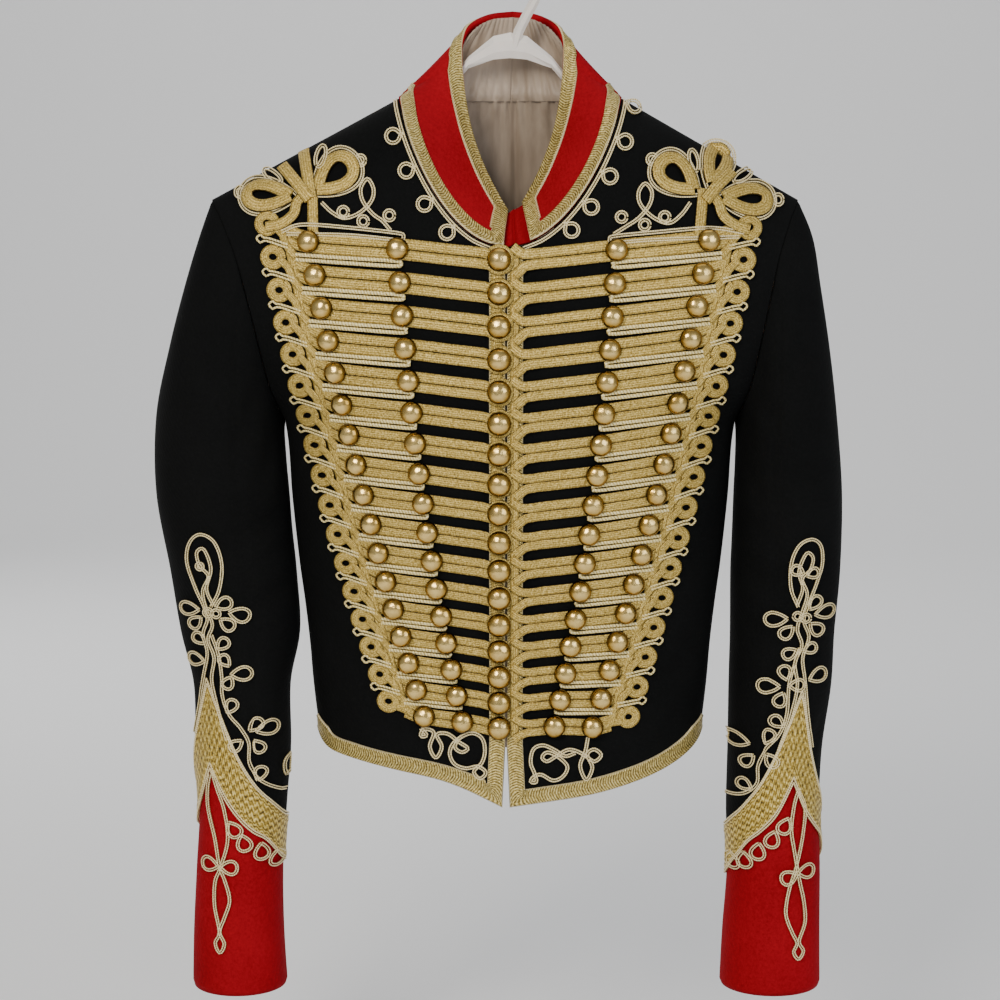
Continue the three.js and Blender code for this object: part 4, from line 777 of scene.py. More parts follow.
def braid_tree():
    """Sweeps a braid's or cord's section along every path, flat side down on the cloth."""
    tree, given, result = new_tree("Braid along paths", (
        ("Half width", "NodeSocketFloat", 0.004), ("Height", "NodeSocketFloat", 0.0018),
        ("Flatness", "NodeSocketFloat", 2.2), ("Material", "NodeSocketMaterial", None),
    ))
    lines = add(tree, "GeometryNodeMeshToCurve", {"Mesh": given.outputs["Geometry"]})
    lay = add(tree, "GeometryNodeInputNamedAttribute", {"Name": "lay"}, data_type="FLOAT_VECTOR")
    lines = add(tree, "GeometryNodeSetCurveNormal", {
        "Curve": lines, "Normal": lay.outputs["Attribute"]}, mode="FREE")
    length = add(tree, "GeometryNodeSplineParameter").outputs["Length"]
    lines = add(tree, "GeometryNodeStoreNamedAttribute", {
        "Geometry": lines, "Name": "along", "Value": length}, data_type="FLOAT", domain="POINT")
    circle = add(tree, "GeometryNodeCurvePrimitiveCircle", {"Resolution": 10, "Radius": 1.0}, mode="RADIUS")
    apart = add(tree, "ShaderNodeSeparateXYZ", {0: add(tree, "GeometryNodeInputPosition")})
    # The section starts under the braid, so that the join of its pattern is out of sight.
    rise = add(tree, "ShaderNodeMath", {0: apart.outputs["X"], 1: given.outputs["Flatness"]},
               operation="MULTIPLY")
    rise = add(tree, "ShaderNodeMath", {0: rise, 1: -0.5, 2: 0.5}, operation="MULTIPLY_ADD")
    rise = add(tree, "ShaderNodeClamp", {"Value": rise, "Min": 0.0, "Max": 1.0})
    rise = add(tree, "ShaderNodeMath", {0: rise, 1: given.outputs["Height"]}, operation="MULTIPLY")
    across = add(tree, "ShaderNodeMath", {0: apart.outputs["Y"], 1: given.outputs["Half width"]},
                 operation="MULTIPLY")
    place = add(tree, "ShaderNodeCombineXYZ", {"X": rise, "Y": across})
    turn = add(tree, "GeometryNodeSplineParameter").outputs["Factor"]
    section = circle
    for name, value in (("across", apart.outputs["Y"]), ("turn", turn)):
        section = add(tree, "GeometryNodeStoreNamedAttribute", {
            "Geometry": section, "Name": name, "Value": value}, data_type="FLOAT", domain="POINT")
    section = add(tree, "GeometryNodeSetPosition", {"Geometry": section, "Position": place})
    girth = add(tree, "GeometryNodeInputNamedAttribute", {"Name": "girth"}, data_type="FLOAT")
    swept = add(tree, "GeometryNodeCurveToMesh", {
        "Curve": lines, "Profile Curve": section, "Scale": girth.outputs["Attribute"], "Fill Caps": True})
    smooth = add(tree, "GeometryNodeSetShadeSmooth", {"Geometry": swept})
    return ended(tree, smooth, given, result)


# Share of a button's radius by which its lower half stands below the middle.
BUTTON_CUT = 0.22


def button_tree():
    """Sets a ball button on every point, standing along the cloth's normal there."""
    tree, given, result = new_tree("Ball buttons", (
        ("Radius", "NodeSocketFloat", 0.00935), ("Height", "NodeSocketFloat", 0.0082),
        ("Material", "NodeSocketMaterial", None),
    ))
    ball = add(tree, "GeometryNodeMeshUVSphere", {"Segments": 24, "Rings": 14, "Radius": 1.0})
    # The lower half is drawn in, as a struck shell is where it is crimped over its back.
    apart = add(tree, "ShaderNodeSeparateXYZ", {0: add(tree, "GeometryNodeInputPosition")})
    low = add(tree, "ShaderNodeMath", {0: apart.outputs["Z"], 1: -BUTTON_CUT}, operation="MAXIMUM")
    tall = add(tree, "ShaderNodeMath", {0: low, 1: BUTTON_CUT}, operation="ADD")
    tall = add(tree, "ShaderNodeMath", {0: tall, 1: 1 / (1 + BUTTON_CUT)}, operation="MULTIPLY")
    tall = add(tree, "ShaderNodeMath", {0: tall, 1: given.outputs["Height"]}, operation="MULTIPLY")
    wide = add(tree, "ShaderNodeMath", {0: apart.outputs["X"], 1: given.outputs["Radius"]},
               operation="MULTIPLY")
    deep = add(tree, "ShaderNodeMath", {0: apart.outputs["Y"], 1: given.outputs["Radius"]},
               operation="MULTIPLY")
    place = add(tree, "ShaderNodeCombineXYZ", {"X": wide, "Y": deep, "Z": tall})
    # crown is the height on the ball; the brass paints shade towards the rim and a lighter top from it.
    ball = add(tree, "GeometryNodeStoreNamedAttribute", {
        "Geometry": ball.outputs["Mesh"], "Name": "crown", "Value": apart.outputs["Z"]},
        data_type="FLOAT", domain="POINT")
    ball = add(tree, "GeometryNodeSetPosition", {"Geometry": ball, "Position": place})
    ball = add(tree, "GeometryNodeSetShadeSmooth", {"Geometry": ball})
    lay = add(tree, "GeometryNodeInputNamedAttribute", {"Name": "lay"}, data_type="FLOAT_VECTOR")
    stand = add(tree, "FunctionNodeAlignRotationToVector", {"Vector": lay.outputs["Attribute"]}, axis="Z")
    girth = add(tree, "GeometryNodeInputNamedAttribute", {"Name": "girth"}, data_type="FLOAT")
    set_on = add(tree, "GeometryNodeInstanceOnPoints", {
        "Points": given.outputs["Geometry"], "Instance": ball, "Rotation": stand,
        "Scale": girth.outputs["Attribute"]})
    return ended(tree, set_on, given, result)


@lru_cache(None)
def shared_tree(name):
    return {"braid": braid_tree, "button": button_tree}[name]()


# ---- materials -------------------------------------------------------------------------------


def colour(code):
    """A linear colour from an sRGB hex value."""
    parts = [int(code[i:i + 2], 16) / 255 for i in (1, 3, 5)]
    return (*[p / 12.92 if p <= 0.04045 else ((p + 0.055) / 1.055) ** 2.4 for p in parts], 1.0)


def new_material(name):
    material = bpy.data.materials.new(name)
    material.use_nodes = True
    tree = material.node_tree
    tree.nodes.clear()
    shader = tree.nodes.new("ShaderNodeBsdfPrincipled")
    end = tree.nodes.new("ShaderNodeOutputMaterial")
    tree.links.new(shader.outputs[0], end.inputs["Surface"])
    return material, tree, shader


def set_stops(ramp, *stops):
    """Gives a colour ramp its stops, each a place and an sRGB hex value."""
    elements = ramp.color_ramp.elements
    for i, (place, code) in enumerate(stops):
        stop = elements[i] if i < 2 else elements.new(place)
        stop.position, stop.color = place, colour(code)


def wool_cloth(name, deep, nap, sheen, gloss):
    """Milled wool cloth, piece dyed: a soft nap over a twill of about 1 mm, with no gloss."""
    material, tree, shader = new_material(name)
    place = add(tree, "ShaderNodeTexCoord").outputs["Object"]
    # Fibre clumps of the milled nap, 2 to 3 mm.
    clumps = add(tree, "ShaderNodeTexNoise", {
        "Vector": place, "Scale": 420.0, "Detail": 4.0, "Roughness": 0.65})
    # Slow wear and dye change over a hand's width.
    wear = add(tree, "ShaderNodeTexNoise", {"Vector": place, "Scale": 14.0, "Detail": 3.0})
    # The twill is drawn at 1.6 mm, or it would be finer than a pixel.
    turned = add(tree, "ShaderNodeMapping", {"Vector": place, "Rotation": (0.0, 0.9, 0.6)})
    twill = add(tree, "ShaderNodeTexWave", {
        "Vector": turned, "Scale": 98.0, "Distortion": 1.2, "Detail": 2.0, "Detail Scale": 3.0})
    mixed = add(tree, "ShaderNodeMath", {0: clumps.outputs["Fac"], 1: 0.55, 2: 0.0},
                operation="MULTIPLY_ADD")
    mixed = add(tree, "ShaderNodeMath", {0: wear.outputs["Fac"], 1: 0.45, 2: mixed},
                operation="MULTIPLY_ADD")
    shade = add(tree, "ShaderNodeValToRGB", {"Fac": mixed})
    set_stops(shade, (0.32, deep), (0.72, nap))
    height = add(tree, "ShaderNodeMath", {0: twill.outputs["Fac"], 1: 0.35, 2: clumps.outputs["Fac"]},
                 operation="MULTIPLY_ADD")
    bump = add(tree, "ShaderNodeBump", {"Strength": 0.35, "Distance": 0.0006, "Height": height})
    feed(tree, shader, {
        "Base Color": shade, "Normal": bump, "Roughness": 0.92, "Specular IOR Level": gloss,
        "Sheen Weight": sheen, "Sheen Roughness": 0.5, "Sheen Tint": colour(nap)})
    return material


def satin_lining():
    """Taupe lining satin: floats of smooth yarn that catch light in broad soft streaks."""
    material, tree, shader = new_material("lining satin")
    place = add(tree, "ShaderNodeTexCoord").outputs["Object"]
    stretched = add(tree, "ShaderNodeMapping", {"Vector": place, "Scale": (1.0, 1.0, 0.18)})
    streaks = add(tree, "ShaderNodeTexNoise", {"Vector": stretched, "Scale": 95.0, "Detail": 3.0})
    shade = add(tree, "ShaderNodeValToRGB", {"Fac": streaks.outputs["Fac"]})
    set_stops(shade, (0.25, "#8C7B69"), (0.8, "#BDAB97"))
    # Yarns are 0.3 mm apart in such satin and are drawn at 1 mm.
    yarn = add(tree, "ShaderNodeTexNoise", {"Vector": stretched, "Scale": 900.0, "Detail": 1.0})
    bump = add(tree, "ShaderNodeBump", {"Strength": 0.12, "Distance": 0.0004, "Height": yarn.outputs["Fac"]})
    feed(tree, shader, {
        "Base Color": shade, "Normal": bump, "Roughness": 0.48, "Anisotropic": 0.3,
        "Sheen Weight": 0.2})
    return material


def metal_thread(name, dark, light, glint, pitch, strands, twist, shine, speckle):
    """Braid or cord of gilt wire wound on cotton: floats painted bright as light, crossings painted dark as
    shade.
    """
    material, tree, shader = new_material(name)
    along, across, turn = (
        add(tree, "ShaderNodeAttribute", attribute_name=name).outputs["Fac"]
        for name in ("along", "across", "turn"))
    run = add(tree, "ShaderNodeMath", {0: along, 1: 2 * math.pi / (pitch * MM)}, operation="MULTIPLY")
    aside = add(tree, "ShaderNodeMath", {
        0: turn if twist else across, 1: strands * (2 * math.pi if twist else 1.0)}, operation="MULTIPLY")
    one = add(tree, "ShaderNodeMath", {0: run, 1: aside}, operation="ADD")
    one = add(tree, "ShaderNodeMath", {0: one}, operation="SINE")
    other = add(tree, "ShaderNodeMath", {0: run, 1: aside}, operation="SUBTRACT")
    other = add(tree, "ShaderNodeMath", {0: other}, operation="SINE")
    # A twist shows one set of slanting lines, and a plait shows two that cross.
    weave = one if twist else add(tree, "ShaderNodeMath", {0: one, 1: other}, operation="MULTIPLY")
    # Floats that catch the light or lie in shade, about 1 mm.
    grain = add(tree, "ShaderNodeTexNoise", {
        "Vector": add(tree, "ShaderNodeTexCoord").outputs["Object"], "Scale": 900.0, "Detail": 3.0})
    mixed = add(tree, "ShaderNodeMath", {0: weave, 1: 0.2, 2: 0.55 - 0.5 * speckle},
                operation="MULTIPLY_ADD")
    mixed = add(tree, "ShaderNodeMath", {0: grain.outputs["Fac"], 1: speckle, 2: mixed},
                operation="MULTIPLY_ADD")
    # The sides of the section are painted darker, as shade where the thread turns down to the cloth.
    edge = add(tree, "ShaderNodeMath", {0: across}, operation="ABSOLUTE")
    outer = add(tree, "ShaderNodeMapRange", {
        "Value": edge, "From Min": 0.8, "From Max": 1.0, "To Min": 0.0, "To Max": 0.6})
    mixed = add(tree, "ShaderNodeMath", {0: mixed, 1: outer}, operation="SUBTRACT")
    # The dark stop is painted shade and the glint stop a painted highlight.
    shade = add(tree, "ShaderNodeValToRGB", {"Fac": mixed})
    set_stops(shade, (0.12, dark), (0.5, light), (0.86, glint))
    height = add(tree, "ShaderNodeMath", {0: weave, 1: 0.3, 2: grain.outputs["Fac"]},
                 operation="MULTIPLY_ADD")
    bump = add(tree, "ShaderNodeBump", {"Strength": 0.7, "Distance": 0.0006, "Height": height})
    feed(tree, shader, {
        "Base Color": shade, "Normal": bump, "Metallic": shine, "Roughness": 0.42})
    return material


def lace_base(name, arms, pitch, dark, light, glint):
    """Flat gold lace between two pale corded edges, with the floats that arms lays out."""
    material, tree, shader = new_material(name)
    along, across = (
        add(tree, "ShaderNodeAttribute", attribute_name=name).outputs["Fac"] for name in ("along", "across"))
    edge = add(tree, "ShaderNodeMath", {0: across}, operation="ABSOLUTE")
    run = add(tree, "ShaderNodeMath", {0: along, 1: 2 * math.pi / (pitch * MM)}, operation="MULTIPLY")
    arm = arms(tree, run, across, edge)
    floats = add(tree, "ShaderNodeMath", {
        0: add(tree, "ShaderNodeMath", {0: arm}, operation="SINE"), 1: 0.5, 2: 0.5},
               operation="MULTIPLY_ADD")
    grain = add(tree, "ShaderNodeTexNoise", {
        "Vector": add(tree, "ShaderNodeTexCoord").outputs["Object"], "Scale": 620.0, "Detail": 3.0})
    mixed = add(tree, "ShaderNodeMath", {0: floats, 1: 0.46, 2: -0.27}, operation="MULTIPLY_ADD")
    mixed = add(tree, "ShaderNodeMath", {0: grain.outputs["Fac"], 1: 1.1, 2: mixed},
                operation="MULTIPLY_ADD")
    # The floats are painted lighter, with a painted highlight in the glint stop, and painted shade lies
    # between them.
    shade = add(tree, "ShaderNodeValToRGB", {"Fac": mixed})
    set_stops(shade, (0.15, dark), (0.52, light), (0.85, glint))
    border = add(tree, "ShaderNodeMapRange", {
        "Value": edge, "From Min": 0.78, "From Max": 0.84, "To Min": 0.0, "To Max": 0.85})
    whole = add(tree, "ShaderNodeMix", {
        "Factor": border.outputs[0], "A": shade.outputs["Color"], "B": colour("#F0DFAE")}, data_type="RGBA")
    height = add(tree, "ShaderNodeMath", {0: border, 1: 1.2, 2: floats}, operation="MULTIPLY_ADD")
    bump = add(tree, "ShaderNodeBump", {"Strength": 0.6, "Distance": 0.0007, "Height": height})
    feed(tree, shader, {
        "Base Color": whole.outputs["Result"], "Normal": bump, "Metallic": 0.45, "Roughness": 0.42})
    return material


def woven_lace():
    """Slanting floats that meet in chevrons of 2.1 mm, with arms that run back by two of them."""
    def arms(tree, run, across, edge):
        return add(tree, "ShaderNodeMath", {0: edge, 1: 9.0, 2: run}, operation="MULTIPLY_ADD")

    return lace_base("woven gold lace", arms, 2.1, "#4E3F14", "#B29A4C", "#F0DE98")


def waved_lace():
    """Nine ridges along the broad lace, all in one wave of 6 mm."""
    def arms(tree, run, across, edge):
        wave = add(tree, "ShaderNodeMath", {0: run}, operation="SINE")
        wave = add(tree, "ShaderNodeMath", {0: wave, 1: 1.5}, operation="MULTIPLY")
        return add(tree, "ShaderNodeMath", {0: across, 1: 28.0, 2: wave}, operation="MULTIPLY_ADD")

    return lace_base("waved gold lace", arms, 6.0, "#4A3808", "#BC9C3A", "#F6E08A")


def gilt_brass():
    """Stamped brass, gilt, with patchy tarnish; painted shade makes it browner towards the rim, and a
    painted highlight lightens the crown.
    """
    material, tree, shader = new_material("gilt brass")
    place = add(tree, "ShaderNodeTexCoord").outputs["Object"]
    tarnish = add(tree, "ShaderNodeTexNoise", {
        "Vector": place, "Scale": 160.0, "Detail": 4.0, "Roughness": 0.6})
    crown = add(tree, "ShaderNodeAttribute", attribute_name="crown").outputs["Fac"]
    tarnish_and_rim_shade = add(tree, "ShaderNodeMath", {0: tarnish.outputs["Fac"], 1: 0.5, 2: -0.25},
               operation="MULTIPLY_ADD")
    # The height on the ball paints shade: darker and browner towards the rim, lighter gold on the crown; the
    # noise adds random tarnish.
    tarnish_and_rim_shade = add(tree, "ShaderNodeMath", {0: crown, 1: tarnish_and_rim_shade}, operation="ADD")
    shade = add(tree, "ShaderNodeValToRGB", {"Fac": tarnish_and_rim_shade})
    set_stops(shade, (0.16, "#2E1A04"), (0.62, "#B89242"), (0.98, "#ECCE84"))
    rough = add(tree, "ShaderNodeMapRange", {
        "Value": tarnish.outputs["Fac"], "From Min": 0.3, "From Max": 0.7, "To Min": 0.3, "To Max": 0.18})
    dents = add(tree, "ShaderNodeTexNoise", {"Vector": place, "Scale": 210.0, "Detail": 2.0})
    bump = add(tree, "ShaderNodeBump", {"Strength": 0.5, "Distance": 0.0011, "Height": dents.outputs["Fac"]})
    feed(tree, shader, {
        "Base Color": shade, "Roughness": rough, "Normal": bump, "Metallic": 1.0})
    return material


def moulded_plastic():
    """Injection-moulded white plastic: an even satin skin with faint flow marks."""
    material, tree, shader = new_material("moulded plastic")
    place = add(tree, "ShaderNodeTexCoord").outputs["Object"]
    marks = add(tree, "ShaderNodeTexNoise", {"Vector": place, "Scale": 40.0, "Detail": 3.0})
    shade = add(tree, "ShaderNodeValToRGB", {"Fac": marks.outputs["Fac"]})
    set_stops(shade, (0.0, "#E2DBD2"), (1.0, "#F6F1EA"))
    fine = add(tree, "ShaderNodeTexNoise", {"Vector": place, "Scale": 900.0, "Detail": 1.0})
    bump = add(tree, "ShaderNodeBump", {"Strength": 0.05, "Distance": 0.0003, "Height": fine.outputs["Fac"]})
    feed(tree, shader, {
        "Base Color": shade, "Normal": bump, "Roughness": 0.34, "Subsurface Weight": 0.08,
        "Subsurface Radius": (0.004, 0.003, 0.002)})
    return material


@lru_cache(None)
def finish(name):
    """The jacket's materials, each made once."""
    return {
        "black wool": lambda: wool_cloth("black wool cloth", "#050606", "#0E0F0F", 0.015, 0.12),
        "red wool": lambda: wool_cloth("red wool cloth", "#820A15", "#A4101E", 0.02, 0.08),
        "lining": satin_lining,
        "braid": lambda: metal_thread(
            "plaited gold braid", "#3E2E0C", "#B79842", "#F3DA86", 2.1, 7.5, False, 0.5, 1.25),
        "cord": lambda: metal_thread(
            "twisted gold cord", "#7A6228", "#F2DA8E", "#FFF4C0", 2.4, 2.0, True, 0.35, 1.2),
        "fine cord": lambda: metal_thread(
            "fine gold cord", "#A08A50", "#F2DEA4", "#FFF4CC", 1.8, 1.0, True, 0.12, 0.8),
        "lace": woven_lace,
        "broad lace": waved_lace,
        "brass": gilt_brass,
        "plastic": moulded_plastic,
    }[name]()


# ---- cloth pieces ----------------------------------------------------------------------------

COLUMNS = np.unique(np.concatenate([np.linspace(0, 1, 33), [0.006, 0.014, 0.986, 0.994]]))


def sheet_piece(name, points, materials, outward, thickness):
    """A wall of cloth from a grid of points on its outer face."""
    faces = turned_out(points.reshape(-1, 3), grid_faces(*points.shape[:2]), outward)
    piece = put(name, points, faces, [finish(one) for one in materials])
    cut_sheet(points)
    return walled(piece, thickness)


def front_piece(side, thickness):
    points = panel_grid("front", side, COLUMNS)
    piece = sheet_piece(f"front_cloth_{side}", points, ("black wool", "lining"), lambda _: (0, -1, 0),
                        thickness)
    return ride(piece, "wool", f"front_{side}")


def back_piece(thickness):
    halves = [panel_grid("back", side, COLUMNS) for side in SIDES]
    count = halves[0].shape[0] * halves[0].shape[1]
    points = np.concatenate([half.reshape(-1, 3) for half in halves])
    faces = []
    for i, half in enumerate(halves):
        own = turned_out(half.reshape(-1, 3), grid_faces(*half.shape[:2]), lambda _: (0, 1, 0))
        faces += [tuple(k + i * count for k in face) for face in own]
    # The halves share the middle line up to the neckline, where the shoulders part.
    rows = 5 * NECK_ROW["back"] + 1
    same = {count + row * len(COLUMNS): row * len(COLUMNS) for row in range(rows)}
    faces = [tuple(same.get(k, k) for k in face) for face in faces]
    used = sorted({k for face in faces for k in face})
    number = {k: i for i, k in enumerate(used)}
    faces = [tuple(number[k] for k in face) for face in faces]
    piece = put("back_cloth", points[used], faces, [finish("black wool"), finish("lining")])
    cut_sheet(np.concatenate([halves[0][:, ::-1], halves[1]], 1))
    return ride(walled(piece, thickness), "wool", "back")


def cuff_grid(side, places):
    turn = 2 * np.pi * places / RING_PLACES
    parts = np.linspace(0, 1, 41)
    start = cuff_lace_height(side, places, 0.5)
    points = np.array([low_sleeve(side, turn, lerp(start, CUFF_END, part)) for part in parts])
    # The cloth rolls in softly at the wrist edge.
    roll = 1.2 * np.clip((parts - 0.97) / 0.03, 0, 1) ** 2
    return points - roll[:, None, None] * around_normals(points)


def tube_piece(name, points, materials, thickness):
    centre = points.mean(1)
    faces = grid_faces(*points.shape[:2], True)

    def outward(spots):
        at = np.abs(spots[:, None, 2] - centre[None, :, 2]).argmin(1)
        return spots - centre[at]

    faces = turned_out(points.reshape(-1, 3), faces, outward)
    return walled(put(name, points, faces, materials), thickness)


def sleeve_piece(side, thickness):
    points = sleeve_grid(side, np.arange(0, RING_PLACES, 0.25))
    piece = tube_piece(f"sleeve_cloth_{side}", points, [finish("black wool"), finish("lining")], thickness)
    cut_sheet(points, True)
    return ride(piece, "wool", f"top_sleeve_{side}", f"under_sleeve_{side}")


def cuff_piece(side, thickness):
    points = cuff_grid(side, np.arange(0, RING_PLACES, 0.25))
    piece = tube_piece(f"cuff_cloth_{side}", points, [finish("red wool"), finish("lining")], thickness)
    cut_sheet(points, True)
    return ride(piece, "red_cloth", f"cuff_{side}")


# ---- collar ----------------------------------------------------------------------------------


@lru_cache(None)
def collar_foot(side, angle):
    """Foot of the collar on the neckline, and the way from the neckline into the opening."""
    def at(turn, lift):
        face = "front" if turn >= 0 else "back"
        out, z = neckline(face, side, min(abs(turn), 90))
        return body_point(face, side, out, z, lift)

    point = at(angle, 0.0)
    along = at(max(angle - 1, -90), 0.0) - at(min(angle + 1, 90), 0.0)
    normal = at(angle, 1.0) - point
    return point, unit(np.cross(along, normal))


@lru_cache(None)
def collar_edge(side, angle):
    out, y, z = (collar_top[name](angle) for name in ("out", "y", "z"))
    return np.array([COLLAR_SHIFT + sign_of(side) * out, y, z])


@lru_cache(None)
def collar_frame(side, angle, rise):
    """Foot, free edge and outward normal of the collar at an angle and rise."""
    foot, away = collar_foot(side, angle)
    top = collar_edge(side, angle)
    slope = unit(top - foot)
    if away.dot(slope) < 0:
        away = -away
    ahead, behind = max(angle - 1, -90), min(angle + 1, 90)
    ahead = lerp(collar_foot(side, ahead)[0], collar_edge(side, ahead), rise)
    behind = lerp(collar_foot(side, behind)[0], collar_edge(side, behind), rise)
    normal = unit(np.cross(ahead - behind, slope)) * sign_of(side)
    if abs(angle) == 90:
        normal = unit(normal * (0, 1, 1))
    clear = SEAM_GAP + COLLAR_WALL / 2 * abs(normal.dot(away))
    foot = foot + slope * min(clear / max(slope.dot(away), 0.35), 4)
    return foot, top, normal


def collar_point(side, angle, rise, out=0.0):
    foot, top, normal = collar_frame(side, float(angle), float(rise))
    return lerp(foot, top, rise) + normal * (out + COLLAR_BULGE * 4 * rise * (1 - rise))


def collar_stations(inset_left=0.0, inset_right=0.0, fine=1):
    """Places round the collar, from the wearer's right front end over the back to the left."""
    left = np.linspace(COLLAR_FRONT_ANGLE["left"] - inset_left, -90, 60 * fine)
    right = np.linspace(COLLAR_FRONT_ANGLE["right"] - inset_right, -90, 56 * fine)[:-1]
    return [("left", a) for a in left] + [("right", a) for a in right[::-1]]


def away_from_neck(spots):
    return spots - np.array([2.0, 12.0, -110.0])


def collar_piece():
    stations = collar_stations()
    rises = np.linspace(0, 1, 15)
    points = np.array([[collar_point(s, a, r, COLLAR_WALL / 2) for s, a in stations] for r in rises])
    piece = sheet_piece("collar_cloth", points, ("red wool",), away_from_neck, COLLAR_WALL)
    return ride(piece, "red_cloth", "collar")


def collar_lining_piece():
    """Satin inside the collar, gathered, over a puckered roll on the neck seam."""
    stations = collar_stations(12, 12, 3)
    rises = np.unique(np.concatenate([np.linspace(0.0, 0.18, 14), np.linspace(0.18, SATIN_TOP, 22)]))
    rows = []
    for level in rises:
        row = []
        for i, (side, angle) in enumerate(stations):
            # Behind the neck it reaches a little below the seam.
            rise = float(level - 0.11 * ease((-angle - 34) / 22) * ease(1 - level / 0.2))
            # At the shoulder points the seam turns sharply, and the satin stops above it.
            rise += (SATIN_TOP - rise) * 0.2 * ease(1 - abs(angle + 2) / 30)
            gather = math.sin(0.4 * i + 1.7 * math.sin(0.13 * i)) * (0.35 + 0.5 * rise)
            slack = 0.7 * math.sin(0.1 * i + 5 * rise) + 0.5 * math.sin(0.08 * i - 9 * rise)
            arch = math.sin(math.pi * min(level / SATIN_TOP, 1.0)) ** 0.4
            ends = math.exp(-(((level - 0.12) / 0.1) ** 2)) + math.exp(-(((level - 0.9) / 0.16) ** 2))
            fine = math.sin(1.1 * i + 1.5 * math.sin(0.19 * i)) * (0.12 + 0.5 * ends)
            push = 2.2 + 0.8 * (gather + 0.8) * arch + 0.5 * (slack + 1.2) + fine
            roll = ease((-angle - 22) / 20) * math.exp(-(((level - 0.06) / 0.045) ** 2))
            push += 1.5 * (1 + 0.4 * math.sin(0.7 * i)) * roll
            row.append(collar_point(side, angle, rise, -COLLAR_WALL / 2 - push))
        rows.append(row)
    piece = sheet_piece("collar_satin", np.array(rows), ("lining",), lambda spots: -away_from_neck(spots),
                        SATIN_WALL)
    return ride(piece, "lining", "collar_lining")


def back_lining_piece():
    """Satin over the inside of the back, gathered into the neck seam, with a middle pleat."""
    across = np.linspace(-80, 80, 121)
    top = NECK_TOP - 2.4 + NECK_BACK_RISE * np.sqrt(1 - (across / NECK_HALF) ** 2)
    rows = []
    for part in np.linspace(0, 1, 44) ** 1.4:
        z = lerp(-238.0, top, 1 - part)
        down = (top - z) / 112
        gather = 1.3 * np.sin(across * 0.74 + 2.0 * np.sin(across * 0.13)) * np.exp(-6 * down)
        pucker = 0.8 * np.sin(across * 1.9 + 1.5 * np.sin(across * 0.31)) * np.exp(-22 * down)
        pleat = 3.0 * np.exp(-(((across - 4) / 2.6) ** 2)) * ease(6 * down)
        drape = np.sin(across * 0.09 + 0.8 + 2.2 * down) * 1.5 * ease(2 * down)
        lift = -(3.6 + 1.0 * (gather + 1) + pucker + 0.8 + 0.8 * (drape + 1.5) - pleat * 0.7)
        row = np.where(
            (across < 0)[:, None], body_point("back", "left", np.abs(across), z, lift),
            body_point("back", "right", np.abs(across), z, lift))
        rows.append(row)
    piece = sheet_piece("back_satin", np.array(rows), ("lining",), lambda _: (0, -1, 0), SATIN_WALL)
    return ride(piece, "lining", "back_lining")


def under_tab_piece():
    """Red tab behind the collar's front ends, in two halves that meet in a fold."""
    under = -COLLAR_WALL / 2 - 2.9
    part = np.unique(np.concatenate([np.linspace(0, 1, 17), [0.36, 0.39, 0.42, 0.45, 0.48]]))[:, None]
    bow = np.sin(np.pi * part) * -2.2 + 4.0 * np.exp(-(((part - 0.42) / 0.05) ** 2))
    rows = []
    for level in np.linspace(0.06, 1.0, 18):
        start = collar_point("left", COLLAR_FRONT_ANGLE["left"] - 3, level * 0.9, under)
        end = collar_point("right", COLLAR_FRONT_ANGLE["right"] - 3, level * 1.1, under)
        rows.append(lerp(start, end, part) + bow * np.array([0, 1, 0.2]))
    piece = sheet_piece("under_tab_cloth", np.array(rows), ("red wool",), lambda _: (0, -1, 0.3), TAB_WALL)
    return ride(piece, "red_cloth", "under_tab")


# ---- laces -----------------------------------------------------------------------------------

LACE_ACROSS = np.array([0.0, 0.05, 0.14, 0.2, 0.35, 0.5, 0.65, 0.8, 0.86, 0.95, 1.0])
LACE_RISE = np.array([0.1, 1.05, 1.3, 0.95, 0.9, 0.95, 0.9, 0.95, 1.3, 1.05, 0.1])


